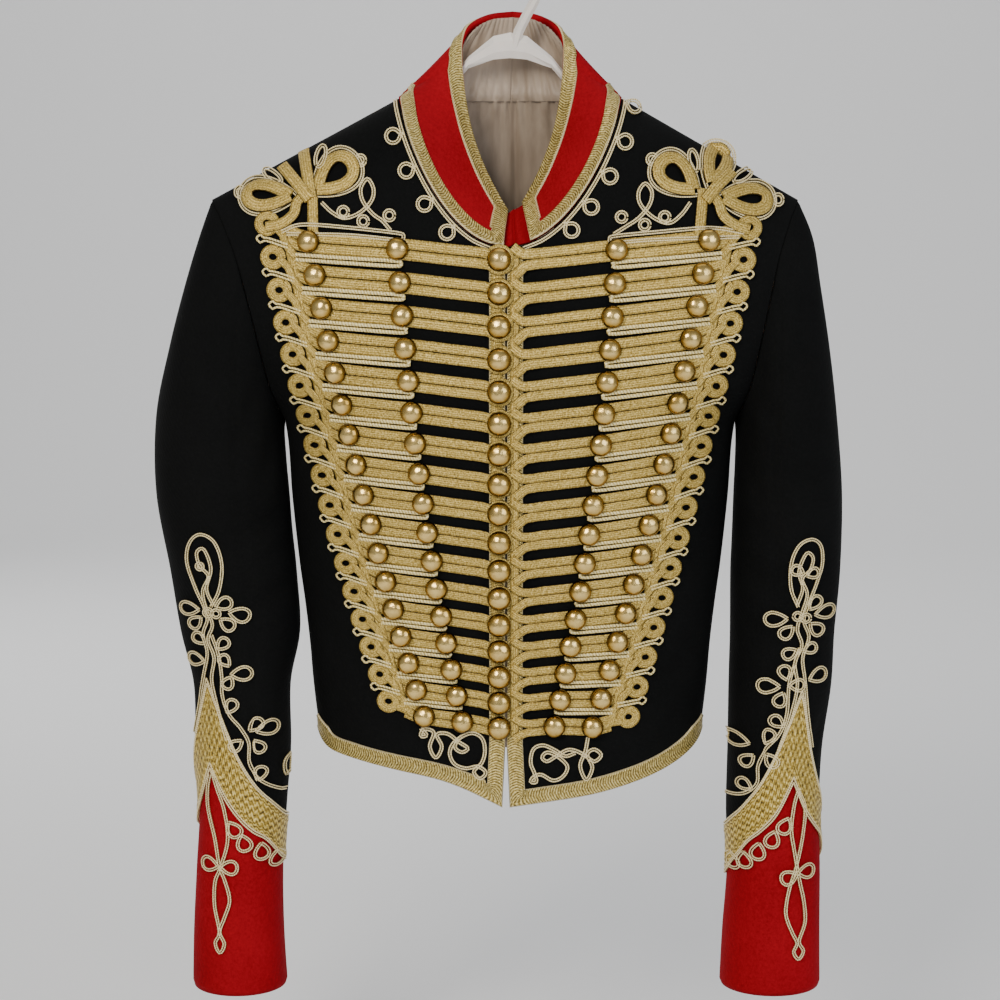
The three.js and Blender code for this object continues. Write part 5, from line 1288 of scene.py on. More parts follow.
def collar_lace_piece(width):
    """Lace round the red of the collar: free edge, front ends and neck seam, mitred."""
    front = COLLAR_FRONT_ANGLE

    def inward(side, angle):
        """The lace's width as a share of the collar's height."""
        foot, top, _ = collar_frame(side, float(angle), 0.5)
        return width / np.linalg.norm(top - foot)

    def end_angle(side, rise):
        """The angle at which the lace on a front end has its inner edge."""
        near, next_to = (collar_point(side, front[side] - off, rise) for off in (2, 4))
        return front[side] - 2 * width / max(np.linalg.norm(near - next_to), 0.2)

    outer, inner = [], []

    def up_front_end(side, rises):
        for rise in rises:
            angle = end_angle(side, rise)
            share = inward(side, angle)
            outer.append((side, front[side], rise))
            inner.append((side, angle, np.clip(rise, 0.02 + share, 0.99 - share)))

    stations = collar_stations()
    for side, angle in stations:
        reach = min(angle, end_angle(side, 0.95))
        outer.append((side, angle, 0.995))
        inner.append((side, reach, 0.995 - inward(side, reach)))
    up_front_end("right", np.linspace(0.9, 0.1, 9))
    for side, angle in reversed(stations):
        reach = min(angle, end_angle(side, 0.1))
        low = float(lerp(0.012, -0.03, ease((angle - 6) / 14)))
        outer.append((side, angle, low))
        inner.append((side, reach, low + 0.9 * inward(side, reach)))
    up_front_end("left", np.linspace(0.1, 0.9, 9))
    outer.append(outer[0])
    inner.append(inner[0])
    soft = [i for i, (_, angle, rise) in enumerate(outer) if abs(angle) < 26 and rise < 0.3]
    low, high = [], []
    for (side, a0, r0), (_, a1, r1) in zip(outer, inner):
        spots = [(lerp(a0, a1, part), lerp(r0, r1, part)) for part in LACE_ACROSS]
        over = COLLAR_WALL / 2 + (0.9 * math.exp(-(((a0 - 4) / 14) ** 2)) if r0 < 0.3 else 0)
        low.append([collar_point(side, a, r, over + 0.15) for a, r in spots])
        high.append([
            collar_point(side, a, r, over + 0.2 + 1.3 * h) for (a, r), h in zip(spots, LACE_RISE)
        ])
    low, high = np.array(low), np.array(high)
    # The seam turns sharply at the shoulder, and the lace is eased round it.
    for _ in range(3):
        for grid in (low, high):
            grid[soft] = (grid[[i - 1 for i in soft]] + 2 * grid[soft] + grid[[i + 1 for i in soft]]) / 4
    return ride(band("collar_gold_lace", low, high, finish("lace")), "lace", "collar_lace")


def laid_lace(name, place, kind, base=0.25, thick=1.3):
    """Lace that place(part, lift) lays out, part running from its outer edge (0) to its inner (1)."""
    low = [place(part, 0.1) for part in LACE_ACROSS]
    high = [place(part, base + thick * rise) for part, rise in zip(LACE_ACROSS, LACE_RISE)]
    return band(name, np.stack(low, 1), np.stack(high, 1), finish(kind))


def front_lace_piece(side, width):
    """Lace along the hem of one front, mitred at the corner and up its front edge."""
    s = np.linspace(1, 0, 60)
    out, z = row_places("front", side, 0.0, s)
    outer = [(o, h + SEAM_GAP) for o, h in zip(out, z)]
    corner = closing_out(side, CLOTH_ROWS[0]["front"]) + width
    steps = np.linalg.norm(np.diff(body_point("front", side, out, z), axis=0), axis=1)
    slope = np.gradient(z, np.concatenate([[0], np.cumsum(steps)]))
    # The lace's width is measured square to the hem, but at the side seam straight up.
    slope = np.clip(slope, -0.45, 0.45) * np.clip((1 - s) / 0.12, 0, 1)
    inner = []
    for o, h, k in zip(out, z, slope):
        inner.append((max(o + 0.9 * k * width, corner), h + width * (1 + 0.1 * k * k)))
    mitre = np.interp(corner, out[::-1], z[::-1]) + width * 1.02
    inner = [(corner, mitre) if o <= corner + 1e-6 else (o, h) for o, h in inner]
    for h in np.linspace(-655, -237, 120):
        edge = float(closing_out(side, h))
        outer.append((edge + SEAM_GAP, h))
        inner.append((edge + width, max(h, mitre)))
    outer, inner = np.array(outer), np.array(inner)

    def place(part, lift):
        out, z = lerp(outer, inner, part).T
        return body_point("front", side, out, z, lift)

    return ride(laid_lace(f"front_gold_lace_{side}", place, "lace"), "lace", f"front_lace_{side}")


def back_lace_piece(width):
    def place(part, lift):
        halves = []
        for side in SIDES:
            out, z = row_places("back", side, 0.0, np.linspace(0, 1, 60))
            halves.append(body_point("back", side, out, z + SEAM_GAP + part * width, lift))
        return np.concatenate([halves[0][::-1], halves[1][1:]])

    return ride(laid_lace("back_gold_lace", place, "lace"), "lace", "hem_lace_back")


def cuff_lace_piece(side):
    places = CUFF_APEX[side] + np.linspace(0, RING_PLACES, 201)
    wrapped = np.where(places >= RING_PLACES, places - RING_PLACES, places)
    turn = 2 * np.pi * wrapped / RING_PLACES

    def place(part, lift):
        return low_sleeve(side, turn, cuff_lace_height(side, wrapped, part), lift)

    piece = laid_lace(f"cuff_gold_lace_{side}", place, "broad lace", 0.3, 1.5)
    return ride(piece, "lace", f"cuff_lace_{side}")


# ---- frogging --------------------------------------------------------------------------------


def frogging_place(side, column, row):
    """Where a row meets a button column, as x and height; rows may be fractions."""
    top, middle, bottom = np.array(FROGGING[side][column], float)
    t = row / (ROWS - 1)
    place = top * (1 - t) * (1 - 2 * t) + middle * 4 * t * (1 - t) + bottom * t * (2 * t - 1)
    return place * (sign_of(side), 1)


def row_pitch(side, row):
    low = min(row + 0.5, ROWS - 1)
    return float(frogging_place(side, "inner", low - 1)[1] - frogging_place(side, "inner", low)[1])


def diagonal_place(side, row):
    """The braid that runs down inside the rings."""
    ring = frogging_place(side, "ring", row)
    outer = frogging_place(side, "outer", row)
    return lerp(ring, outer, 0.46) + (0, 1.5)


def over_lace(path, side):
    """Lift of a bar: it climbs over the lace on the front edge."""
    out = sign_of(side) * path[:, 0]
    return 0.4 + 1.35 * ease((24 - out) / 7)


def bar_paths(side):
    """Both braids of every bar, and how they end at the closing."""
    paths = []
    sign = sign_of(side)
    for row in range(ROWS):
        centre, inner, outer = (frogging_place(side, name, row) for name in ("centre", "inner", "outer"))
        far = diagonal_place(side, row + 0.12)
        pitch = row_pitch(side, row)
        apart = 0.165 * pitch
        run = unit(inner - centre)
        aside = np.array([-run[1], run[0]]) * (1 if run[0] > 0 else -1)
        far_run = unit(far - inner)
        far_aside = np.array([-far_run[1], far_run[0]]) * (1 if far_run[0] > 0 else -1)
        for way in (1, -1):
            line = [far + way * far_aside * apart, outer + way * far_aside * apart,
                    inner + way * aside * apart, lerp(centre, inner, 0.5) + way * aside * apart]
            if side == "left":
                # Round the button, each braid to the far side of the ring.
                size = 0.31 * pitch
                turns = np.radians([148, 112, 75, 38, 0])
                line += [centre + run * (size + 6) + way * aside * apart]
                line += [centre + size * np.array([math.cos(a), way * math.sin(a)]) for a in turns]
            else:
                line += [centre + run * 9.5 + way * aside * apart,
                         centre + (sign * 3.5, 0) + way * aside * pitch * 0.255,
                         centre + (sign * -1.5, 0) + way * aside * pitch * 0.42]
            path = smooth_line(line, 2.0)
            paths.append((path, over_lace(path, side) + 0.05 * way, apart / 4.0))
    return paths


def edge_braid_paths(side):
    """The flat braid down the front edge, over the lace and under the bars."""
    x, girth = (-10.3, 1.1) if side == "left" else (3.2, 0.95)
    line = np.array([(x, z) for z in (-235, -330, -430, -520, -606)])
    return [(smooth_line(line, 2.4), 1.15, girth)]


def hairpin_end(side, at):
    """The outer end of the hairpins, at a place between two rows."""
    return frogging_place(side, "outer", at) + (sign_of(side) * 12.0, 1.0)


def ring_paths(side):
    """The rings down the outer edge, and the braid that runs down inside them."""
    sign = sign_of(side)
    paths = []
    for row in range(ROWS):
        x, z = frogging_place(side, "ring", row)
        size = 0.92 + 0.08 * (1 - row / ROWS)
        loop = oval(x, z, 6.4 * size, 6.0 * size, 0, 60 if sign < 0 else 120, 360 * sign, 18)
        paths.append((smooth_line(loop, 1.5), 0.5, 0.98 * size))
        if row < ROWS - 1:
            # The tail goes down inwards over the diagonal, to the outer end of the hairpins.
            end = hairpin_end(side, row + 0.5)
            tail = [(x - sign * 5.4, z - 1.6), (x - sign * 12, z - 8), lerp((x, z), end, 0.66) + (0, 1), end]
            paths.append((smooth_line(tail, 1.8), 1.35, 0.82 * size))
    spine = [diagonal_place(side, row) for row in np.arange(-0.35, ROWS - 0.4, 0.5)]
    paths.append((smooth_line(spine, 2.2), 0.7, 0.88))
    last = frogging_place(side, "ring", ROWS - 1)
    end = frogging_place(side, "outer", ROWS - 1)
    tail = [last - (sign * 5, 3.0), lerp(last, end, 0.5) - (0, 1), end - (0, 3)]
    paths.append((smooth_line(tail, 2.0), 0.8, 0.8))
    return paths


def hairpin_paths(side):
    """Pale cord hairpins under each bar, and the small loops that cross between the rings."""
    sign = sign_of(side)
    paths = []
    for row in range(ROWS - 1):
        at = row + 0.5
        pitch = row_pitch(side, row)
        inner = frogging_place(side, "inner", at) + (-sign * 0.5, 1.4)
        far = hairpin_end(side, at)
        half = 0.074 * pitch
        run = unit(inner - far)
        aside = np.array([-run[1], run[0]]) * half
        line = [far + aside, lerp(far, inner, 0.5) + aside, inner - run * half * 1.2 + aside,
                inner + run * half * 0.5, inner - run * half * 1.2 - aside,
                lerp(far, inner, 0.5) - aside, far - aside]
        paths.append((smooth_line(line, 1.8), 0.7, pitch / 22.5))
        ring = frogging_place(side, "ring", at)
        tilt = np.array([sign * 1.0, 0.12])
        near = lerp(ring, diagonal_place(side, at), 0.95)
        tip = ring + tilt * 4.6
        line = [near + (0, 1.3), ring + (0, 1.2), tip + (0, 1.3), tip + tilt * 2.4 + (0, 2.9),
                tip + tilt * 5.4, tip + tilt * 2.4 - (0, 2.9), tip - (0, 1.3), ring - (0, 1.2),
                near - (0, 1.3)]
        paths.append((smooth_line(line, 1.4), 1.9, 0.6))
    return paths


def petal(x, z, long, wide, lean, grow=0.0):
    """Places round a leaf-shaped loop whose point looks along lean, in degrees."""
    turn = np.linspace(0, 2 * np.pi, 26)
    a = (long + grow) * np.cos(turn)
    b = (wide + grow) * 1.25 * np.sin(turn) * np.sin(turn / 2) ** 0.9
    return tilted(x, z, a, b, lean)


# Petals of the shoulder knots: middle, half length, half width, where the point looks.
PETALS = (
    (-132.0, -180.0, 16.0, 10.2, 220), (-182.6, -195.8, 17.0, 7.6, 0),
    (125.0, -180.6, 15.6, 9.8, -38), (177.8, -198.2, 17.0, 7.8, 175), (156.0, -173.0, 13.4, 7.4, 250),
)


def knot_braid_paths():
    """Shoulder knots in flat braid: stem, petals and straps up to the shoulder seam."""
    paths = [(smooth_line(petal(*one)), 1.0 + 0.25 * (i % 3), 1.3) for i, one in enumerate(PETALS)]
    return paths + [
        # left
        (smooth_line([(-148.2, -228), (-148.4, -208), (-148.8, -190)]), 0.6, 1.1),
        (smooth_line([(-149.5, -197), (-152.5, -180), (-156, -163.5)]), 1.6, 1.25),
        (smooth_line([(-150.5, -198), (-161, -186), (-172.5, -174.5)]), 1.9, 1.25),
        (smooth_line([(-152, -192), (-160, -200), (-163, -209), (-172, -216), (-184, -219)]), 1.4, 1.1),
        # right
        (smooth_line([(141.5, -228), (143.5, -208), (145, -190)]), 0.6, 1.1),
        (smooth_line([(146, -199), (156, -188), (167.5, -178.5)]), 1.9, 1.2),
        (smooth_line([(148, -192), (156, -200), (160, -210), (169, -217), (180, -221)]), 1.4, 1.1),
    ]


def doubled(paths, apart):
    """Each path as two cords of even girth that lie side by side."""
    pairs = []
    for places, lift, *_ in paths:
        run = np.gradient(places, axis=0)
        aside = unit(np.stack([-run[:, 1], run[:, 0]], -1)) * apart / 2
        pairs += [(places + aside, lift), (places - aside, lift + 0.06)]
    return pairs


def leaf(x, z, to, long, wide, lift):
    """A loop of cord whose crossing lies towards a place."""
    lean = math.degrees(math.atan2(to[1] - z, to[0] - x))
    return smooth_line(petal(x, z, long, wide, lean), 1.2), lift


def curl(x, z, size, start=0.0):
    return smooth_line(oval(x, z, size, size, 0, start, 350), 1.1)


def tracery_paths():
    """Thin double cord on the fronts: beside the collar, round the knots and at the hem."""
    cords = []
    for side, sign in (("left", -1), ("right", 1)):
        line = []
        for angle in (4, 12, 22, 32, 42, 52, 62, 72, 82):
            out, z = neckline("front", side, angle)
            turn = math.radians(angle)
            line.append((sign * (out + 2.3 * math.cos(turn)), z - 2.3 * math.sin(turn)))
        cords.append(smooth_line(line))
    paths = [(cord, 0.5) for cord in cords]
    rings = (
        (-90.5, -151.4), (-82.8, -178.3), (-68.9, -203.1), (-48.6, -222.6),
        (93.6, -128.3), (89.3, -156.3), (81.1, -183.6), (68.1, -207.6), (49.3, -223.4),
    )
    for x, z in rings:
        # Each loop crosses itself where it leaves the cord.
        cord = cords[0] if x < 0 else cords[1]
        ring = np.array([x, z])
        near = cord[np.linalg.norm(cord - ring, axis=1).argmin()]
        away = unit(ring - near)
        beside = np.array([-away[1], away[0]])
        turn = np.radians(np.linspace(222, 498, 12))[:, None]
        loop = near + away * 7.6 + 5.1 * (away * np.cos(turn) + beside * np.sin(turn))
        paths.append((smooth_line([near + beside * 1.6, *loop, near - beside * 1.6], 1.2), 0.8))
    # curls and loops of the shoulder knots
    paths += [(curl(x, z, 3.7), 0.8) for x, z in (
        (-112.5, -168.8), (-205.4, -193.6), (106.3, -168), (203.5, -199.2),
        (-125.3, -206.7), (-110.3, -213.4), (-90.7, -208.9), (115.7, -210.4), (100.7, -216), (83.3, -210.1),
    )]
    paths += [(smooth_line(oval(*one)), lift) for *one, lift in (
        (-142.5, -167, 3.6, 8.0, -14, 250, 350, 2.0), (-180, -182, 8.5, 3.4, -30, 320, 350, 1.8),
        (137.6, -170, 3.4, 8.0, 12, 290, -350, 2.0), (176, -181.5, 8.5, 3.4, 26, 200, -350, 1.8),
    )]
    paths.append((smooth_line([
        (-141.8, -199.9), (-134, -207), (-124.6, -211.2), (-113.5, -207.5), (-104.5, -199), (-102.4, -190),
        (-107, -182.2), (-112, -189), (-110.6, -198.5), (-103, -208), (-96, -213), (-89.9, -220)]), 0.7))
    paths.append((smooth_line([
        (135.2, -199.9), (128, -209), (118.8, -214.9), (107, -210.5), (97.5, -201), (96, -192),
        (101, -185.5), (106, -192), (104, -201.5), (96, -211), (87, -217), (77.4, -223)]), 0.7))
    paths += [(smooth_line(petal(*one, 6.4)), 0.7) for one in PETALS]
    # hairpins over the top row
    paths.append((smooth_line([(-172, -222), (-156, -216.6), (-120, -218.4), (-84, -222.2), (-80.5, -225),
                               (-84, -227.2), (-120, -224), (-168, -223.6)]), 1.7))
    paths.append((smooth_line([(176, -223), (150, -219), (110, -221.4), (78, -224.4), (74.6, -227),
                               (78, -229.4), (110, -227), (172, -226)]), 1.7))
    # scrolls in the bottom corners
    paths.append((smooth_line([
        (-68.4, -600.6), (-63.8, -606), (-68.4, -606.8), (-66.1, -601.3), (-58.4, -603.7), (-61.5, -614.7),
        (-56.9, -623.3), (-52.3, -614.7), (-56.1, -605.3), (-47.7, -604.5), (-39.2, -610.7), (-32.4, -615.4),
        (-37, -618.6), (-42.3, -614.7), (-38.5, -607.6), (-29.3, -603.7), (-21.6, -607.6), (-19.3, -617),
        (-21.6, -626.4), (-27.8, -633.5), (-23.2, -639), (-18.6, -634.3), (-24.7, -629.6), (-33.9, -631.1),
        (-42.4, -628), (-46.2, -620.2), (-43.9, -612.3), (-36.9, -606)]), 0.7))
    paths.append((smooth_line([
        (59.7, -606.8), (57.4, -618.6), (53.6, -629.6), (58.3, -640.6), (62.9, -631.1), (59, -620.9),
        (64.3, -617), (69.7, -621.7), (64.4, -626.4), (57.4, -621.7), (50.5, -617.8), (43.6, -617),
        (35.2, -621.7), (28.3, -625.6), (24.4, -622.5), (28.3, -618.6), (36, -621.7), (43.7, -629.6),
        (40.6, -637.4), (32.9, -640.6), (23.7, -635.9), (17.8, -637.8), (15.7, -641.5), (20.1, -641.5),
        (18.6, -634.7), (15.7, -626.4), (17.8, -616.2), (25.2, -613.1), (34.4, -617), (42.1, -621.7),
        (49.8, -619.4)]), 0.7))
    return paths


def sleeve_trace_paths():
    """Cord figures above and below the cuff lace."""
    def line(*points):
        return smooth_line(points)

    left, low_left = (-231, -511), (-226, -543)
    right, low_right = (223.5, -516), (219, -560)
    return [
        # left: the tall loop, its inner curl and the trunk that parts round the lace's point
        (line((-229, -508), (-222.5, -494), (-220.5, -474), (-226, -457), (-236.6, -451.5), (-245, -459),
              (-247.3, -474), (-241, -494), (-235, -507), (-232, -518), (-235.5, -530), (-232.5, -545),
              (-235.5, -562), (-240.5, -590), (-245, -612)), 0.8),
        (line((-227, -507), (-232, -494), (-228.5, -478), (-233.5, -463), (-239, -466), (-237, -476),
              (-230.5, -484), (-235, -496), (-232.5, -510), (-228, -522), (-231.5, -534), (-227, -548),
              (-229, -566), (-224, -590), (-218, -612)), 1.2),
        (curl(-236.8, -476.5, 2.6, 90), 1.5),
        leaf(-246, -511, left, 7.6, 5.0, 1.0), leaf(-241, -521, left, 6.0, 4.4, 1.2),
        leaf(-219.5, -505.5, left, 6.4, 4.6, 1.0), leaf(-217, -521, left, 6.0, 4.6, 1.2),
        leaf(-208, -513.8, (-219, -511), 7.6, 5.4, 1.0), (curl(-231, -512.5, 3.2), 1.7),
        (curl(-225, -513, 3.0, 180), 1.7),
        leaf(-238.5, -534, low_left, 5.4, 4.2, 1.1), leaf(-220.5, -537, low_left, 5.4, 4.2, 1.1),
        leaf(-241.5, -551, (-231, -552), 6.6, 5.0, 1.0), leaf(-218.9, -550, (-213, -557), 5.0, 4.0, 1.0),
        leaf(-207, -560, (-215, -561), 7.6, 5.2, 1.0), leaf(-216.5, -567, (-213, -560), 5.0, 4.0, 1.3),
        (line((-229, -530), (-224, -545), (-221.5, -562), (-221, -578), (-216, -592), (-208, -602),
              (-202, -614), (-201.5, -630), (-194.5, -643), (-181, -652.7), (-176, -655)), 0.9),
        leaf(-214.6, -585.5, (-219, -594), 5.6, 4.2, 1.0), leaf(-197, -600.5, (-204, -607), 5.8, 4.4, 1.1),
        leaf(-188.5, -603.7, (-199, -606), 7.8, 5.4, 1.0), leaf(-195, -617, (-202, -607), 5.4, 4.0, 1.2),
        leaf(-211, -615.5, (-203, -609), 5.4, 4.0, 1.2), leaf(-193.6, -638.6, (-196, -646), 5.4, 4.2, 1.0),
        leaf(-173, -636.5, (-178, -650), 8.0, 4.6, 1.0),
        # cord loops that hang from the lace
        leaf(-213.6, -681.5, (-220, -672), 6.4, 5.0, 1.3), leaf(-206.2, -692.2, (-209, -682), 6.4, 5.0, 1.4),
        leaf(-193.6, -699.8, (-194, -688), 6.4, 5.0, 1.3), leaf(-183.2, -707.5, (-182, -696), 6.0, 4.8, 1.4),
        # the cuff's long figure
        (line((-231.5, -640), (-233.5, -652), (-233.2, -668), (-228, -690), (-224.4, -711.6), (-220.5, -722),
              (-217, -737), (-221, -751), (-224.6, -762), (-221, -771), (-224.5, -778.2), (-228, -771),
              (-224.8, -762), (-228.4, -742), (-228, -724), (-223.6, -711.6), (-218, -690),
              (-220.5, -667), (-225.5, -652), (-230.4, -636)), 0.9),
        leaf(-231.6, -710.6, (-224, -711.5), 6.2, 5.2, 1.2),
        leaf(-217.4, -711.6, (-225, -711.5), 6.2, 5.2, 1.2),
        # right
        (line((220.5, -508), (215, -493), (214.9, -474), (220.5, -460), (229.9, -455.5), (237, -461),
              (238.6, -475), (234, -491), (228, -507), (225, -519), (229, -532), (224.5, -548),
              (226.5, -566), (229.5, -596), (233, -620)), 0.8),
        (line((219.5, -507), (223.5, -493), (220.5, -480), (226, -466), (231, -470), (229, -479),
              (223, -486), (227, -498), (223.5, -512), (220, -525), (223.5, -538), (218.5, -552),
              (220.5, -570), (215.5, -594), (207, -620)), 1.2),
        leaf(219.5, -479.5, (226, -483), 4.6, 3.8, 1.5), leaf(230.8, -482, (225, -484), 4.6, 3.8, 1.5),
        leaf(204.5, -517.5, right, 8.2, 5.4, 1.0), leaf(241.5, -513.5, right, 8.0, 5.2, 1.0),
        leaf(212.4, -527.3, right, 6.0, 4.4, 1.2), leaf(234.4, -525.6, right, 6.2, 4.6, 1.2),
        leaf(233, -505.5, right, 6.0, 4.4, 1.1), (curl(226.2, -516.7, 3.2), 1.7),
        (curl(220, -515, 3.0, 180), 1.7),
        leaf(214.8, -544, (221, -541), 5.4, 4.2, 1.0), leaf(230, -541, (224, -543), 5.0, 4.0, 1.0),
        leaf(199.6, -570, (210, -570), 8.0, 5.4, 1.0), leaf(211.4, -559.3, (214, -568), 5.6, 4.4, 1.1),
        leaf(208, -580, (212, -571), 5.6, 4.4, 1.2), leaf(220.2, -569, (214, -569), 5.6, 4.4, 1.3),
        leaf(236.4, -563, (228, -566), 7.0, 5.4, 1.0),
        (line((222, -540), (218.3, -553), (214.5, -568), (212.8, -592), (207.5, -607), (198.4, -618.5),
              (192.4, -632), (191.6, -646), (183.5, -655), (171.9, -659), (167, -660)), 0.9),
        leaf(206, -597.5, (212, -602), 5.6, 4.2, 1.0), leaf(199.5, -609.5, (196, -618), 5.8, 4.4, 1.1),
        leaf(178, -614.8, (191, -617), 8.2, 5.2, 1.0), leaf(185, -629, (194, -620), 5.8, 4.2, 1.1),
        leaf(202, -627.8, (197, -620), 5.6, 4.2, 1.2), leaf(183, -648.6, (189, -652), 5.4, 4.2, 1.0),
        leaf(212.2, -678.8, (217, -669), 6.4, 5.0, 1.3), leaf(203, -689.2, (206, -679), 6.4, 5.0, 1.4),
        leaf(192.8, -699.4, (194, -688), 6.4, 5.0, 1.3), leaf(183.4, -707.6, (182, -697), 6.0, 4.8, 1.4),
        leaf(175, -710.6, (173, -700), 6.0, 4.4, 1.3),
        (line((222.4, -652), (227.6, -666), (226, -688), (221, -712), (216, -728), (213.3, -747),
              (218, -762), (222, -771), (219.4, -778), (223.4, -783.9), (227, -778), (223.6, -770),
              (228.2, -756), (227.3, -740), (223.6, -722), (219, -696), (217.1, -682), (219, -664),
              (222.6, -650)), 0.9),
        leaf(215.8, -719.4, (222.5, -717), 6.2, 5.2, 1.2),
        leaf(228.6, -716.2, (221.5, -716.5), 6.2, 5.2, 1.2),
    ]


def cuff_edge_paths(side):
    """Cord along both edges of a cuff's lace, as places round the cuff and across the lace."""
    places = np.linspace(0, RING_PLACES, 241) + CUFF_APEX[side]
    return [(np.stack([places, np.full(241, part)], -1), 0.9) for part in (-0.03, 0.03, 0.97, 1.03)]


def on_cuff_lace(side):
    """Lays such places on the cuff's lace."""
    def place(path, lift):
        turn = 2 * np.pi * path[:, 0] / RING_PLACES
        z = cuff_lace_height(side, path[:, 0] % RING_PLACES, path[:, 1])
        points = low_sleeve(side, turn, z)
        normals = unit(low_sleeve(side, turn, z, 1.0) - points)
        return points + lift * normals, normals

    return place


# ---- add-on ----------------------------------------------------------------------------------


class JacketCloth(bpy.types.PropertyGroup):
    wall: FloatProperty(
        name="Cloth", description="Thickness of the cloth with its canvas and lining",
        default=0.002, min=0.0005, subtype="DISTANCE", unit="LENGTH")


class JacketTrim(bpy.types.PropertyGroup):
    braid_width: FloatProperty(
        name="Braid width", description="Width of one flat braid", default=0.008, min=0.002,
        subtype="DISTANCE", unit="LENGTH")
    braid_height: FloatProperty(
        name="Braid height", description="Thickness of one flat braid", default=0.0018, min=0.0005,
        subtype="DISTANCE", unit="LENGTH")
    cord_width: FloatProperty(
        name="Cord width", description="Width of a hairpin cord", default=0.003, min=0.0005,
        subtype="DISTANCE", unit="LENGTH")
    tracery_width: FloatProperty(
        name="Tracery width", description="Width of the double cord", default=0.0032, min=0.0005,
        subtype="DISTANCE", unit="LENGTH")
    lace_width: FloatProperty(
        name="Lace width", description="Width of the lace on hem, fronts and collar", default=0.0125,
        min=0.004, subtype="DISTANCE", unit="LENGTH")
    button_radius: FloatProperty(
        name="Button radius", description="Radius of a ball button", default=0.0092, min=0.002,
        subtype="DISTANCE", unit="LENGTH")


class JacketStage(bpy.types.PropertyGroup):
    floor_colour: FloatVectorProperty(
        name="Floor", description="Colour of the floor and the backdrop", subtype="COLOR", size=4,
        default=(0.92, 0.92, 0.92, 1.0), min=0.0, max=1.0)


class JACKET_OT_cloth(bpy.types.Operator):
    """Makes the fronts, back, sleeves and cuffs"""
    bl_idname = "jacket.cloth"
    bl_label = "Cloth"

    def execute(self, context):
        wall = context.scene.jacket_cloth.wall / MM
        back_piece(wall)
        for side in SIDES:
            front_piece(side, wall)
            sleeve_piece(side, wall)
            cuff_piece(side, wall)
        return {"FINISHED"}


class JACKET_OT_collar(bpy.types.Operator):
    """Makes the standing collar, its linings and the under-tab"""
    bl_idname = "jacket.collar"
    bl_label = "Collar"

    def execute(self, context):
        collar_piece()
        collar_lining_piece()
        back_lining_piece()
        under_tab_piece()
        return {"FINISHED"}


class JACKET_OT_laces(bpy.types.Operator):
    """Makes the laces on collar, hem, front edges and cuffs"""
    bl_idname = "jacket.laces"
    bl_label = "Laces"

    def execute(self, context):
        width = context.scene.jacket_trim.lace_width / MM
        collar_lace_piece(width)
        back_lace_piece(width)
        for side in SIDES:
            front_lace_piece(side, width)
            cuff_lace_piece(side)
        return {"FINISHED"}


class JACKET_OT_frogging(bpy.types.Operator):
    """Makes the edge braids, bars, rings and hairpins of the frogging"""
    bl_idname = "jacket.frogging"
    bl_label = "Frogging"

    def execute(self, context):
        trim = context.scene.jacket_trim
        half, tall = trim.braid_width / MM / 2, trim.braid_height / MM
        cord = trim.cord_width / MM
        for side in SIDES:
            rows = [f"frogging_{side}_{row + 1}" for row in range(ROWS)]
            for name, paths, thread, section, slot, nodes in (
                ("edge_braid", edge_braid_paths, "braid", (half, 1.0, FLAT), "gold_braid", ()),
                ("bars", bar_paths, "braid", (half, tall, FLAT), "gold_braid", rows),
                ("rings", ring_paths, "braid", (half, tall, FLAT), "gold_braid", ()),
                ("hairpins", hairpin_paths, "cord", (cord / 2, cord * 0.75, 1.2), "pale_cord", ()),
            ):
                along_paths(f"{name}_{side}", paths(side), on_body, thread, section, slot, *nodes)
        return {"FINISHED"}


class JACKET_OT_buttons(bpy.types.Operator):
    """Sets the ball buttons in their five columns"""
    bl_idname = "jacket.buttons"
    bl_label = "Buttons"

    def execute(self, context):
        radius = context.scene.jacket_trim.button_radius
        spots, ups, girths = [], [], []
        for side, columns in (("left", ("centre", "inner", "outer")), ("right", ("inner", "outer"))):
            for column in columns:
                places = np.array([frogging_place(side, column, row) for row in range(ROWS)])
                lift = 3.3 if column == "centre" else 1.9
                points, normals = on_body(places, lift)
                spots.append(points)
                ups.append(normals)
                girths.append(np.full(ROWS, 1.0 if column == "centre" else 0.95))
        values = {"lay": np.concatenate(ups), "girth": np.concatenate(girths)}
        piece = put("ball_buttons", np.concatenate(spots), [], [], values)
        grown(piece, shared_tree("button"), {
            "Radius": radius, "Height": 0.88 * radius, "Material": finish("brass")})
        ride(piece, "gold_braid")
        return {"FINISHED"}


class JACKET_OT_knots(bpy.types.Operator):
    """Lays the shoulder knots and the cord tracery on fronts, sleeves and cuffs"""
    bl_idname = "jacket.knots"
    bl_label = "Knots and cords"

    def execute(self, context):
        trim = context.scene.jacket_trim
        flat_braid = (trim.braid_width / MM / 2, trim.braid_height / MM, FLAT)
        cord = trim.tracery_width / MM
        along_paths("shoulder_knots", knot_braid_paths(), on_body, "braid", flat_braid, "gold_braid",
                    "shoulder_knot_left", "shoulder_knot_right")
        along_paths("front_tracery", doubled(tracery_paths(), cord * 0.56), on_body, "fine cord",
                    (cord * 0.19, cord * 0.42, ROUND), "pale_cord",
                    "corner_scroll_left", "corner_scroll_right")
        along_paths("sleeve_tracery", doubled(sleeve_trace_paths(), cord * 0.5), on_sleeve, "fine cord",
                    (cord * 0.165, cord * 0.38, ROUND), "pale_cord", "sleeve_knot_left", "sleeve_knot_right")
        for side in SIDES:
            along_paths(f"cuff_lace_cords_{side}", cuff_edge_paths(side), on_cuff_lace(side), "fine cord",
                        (cord * 0.2, cord * 0.45, ROUND), "pale_cord")
        return {"FINISHED"}


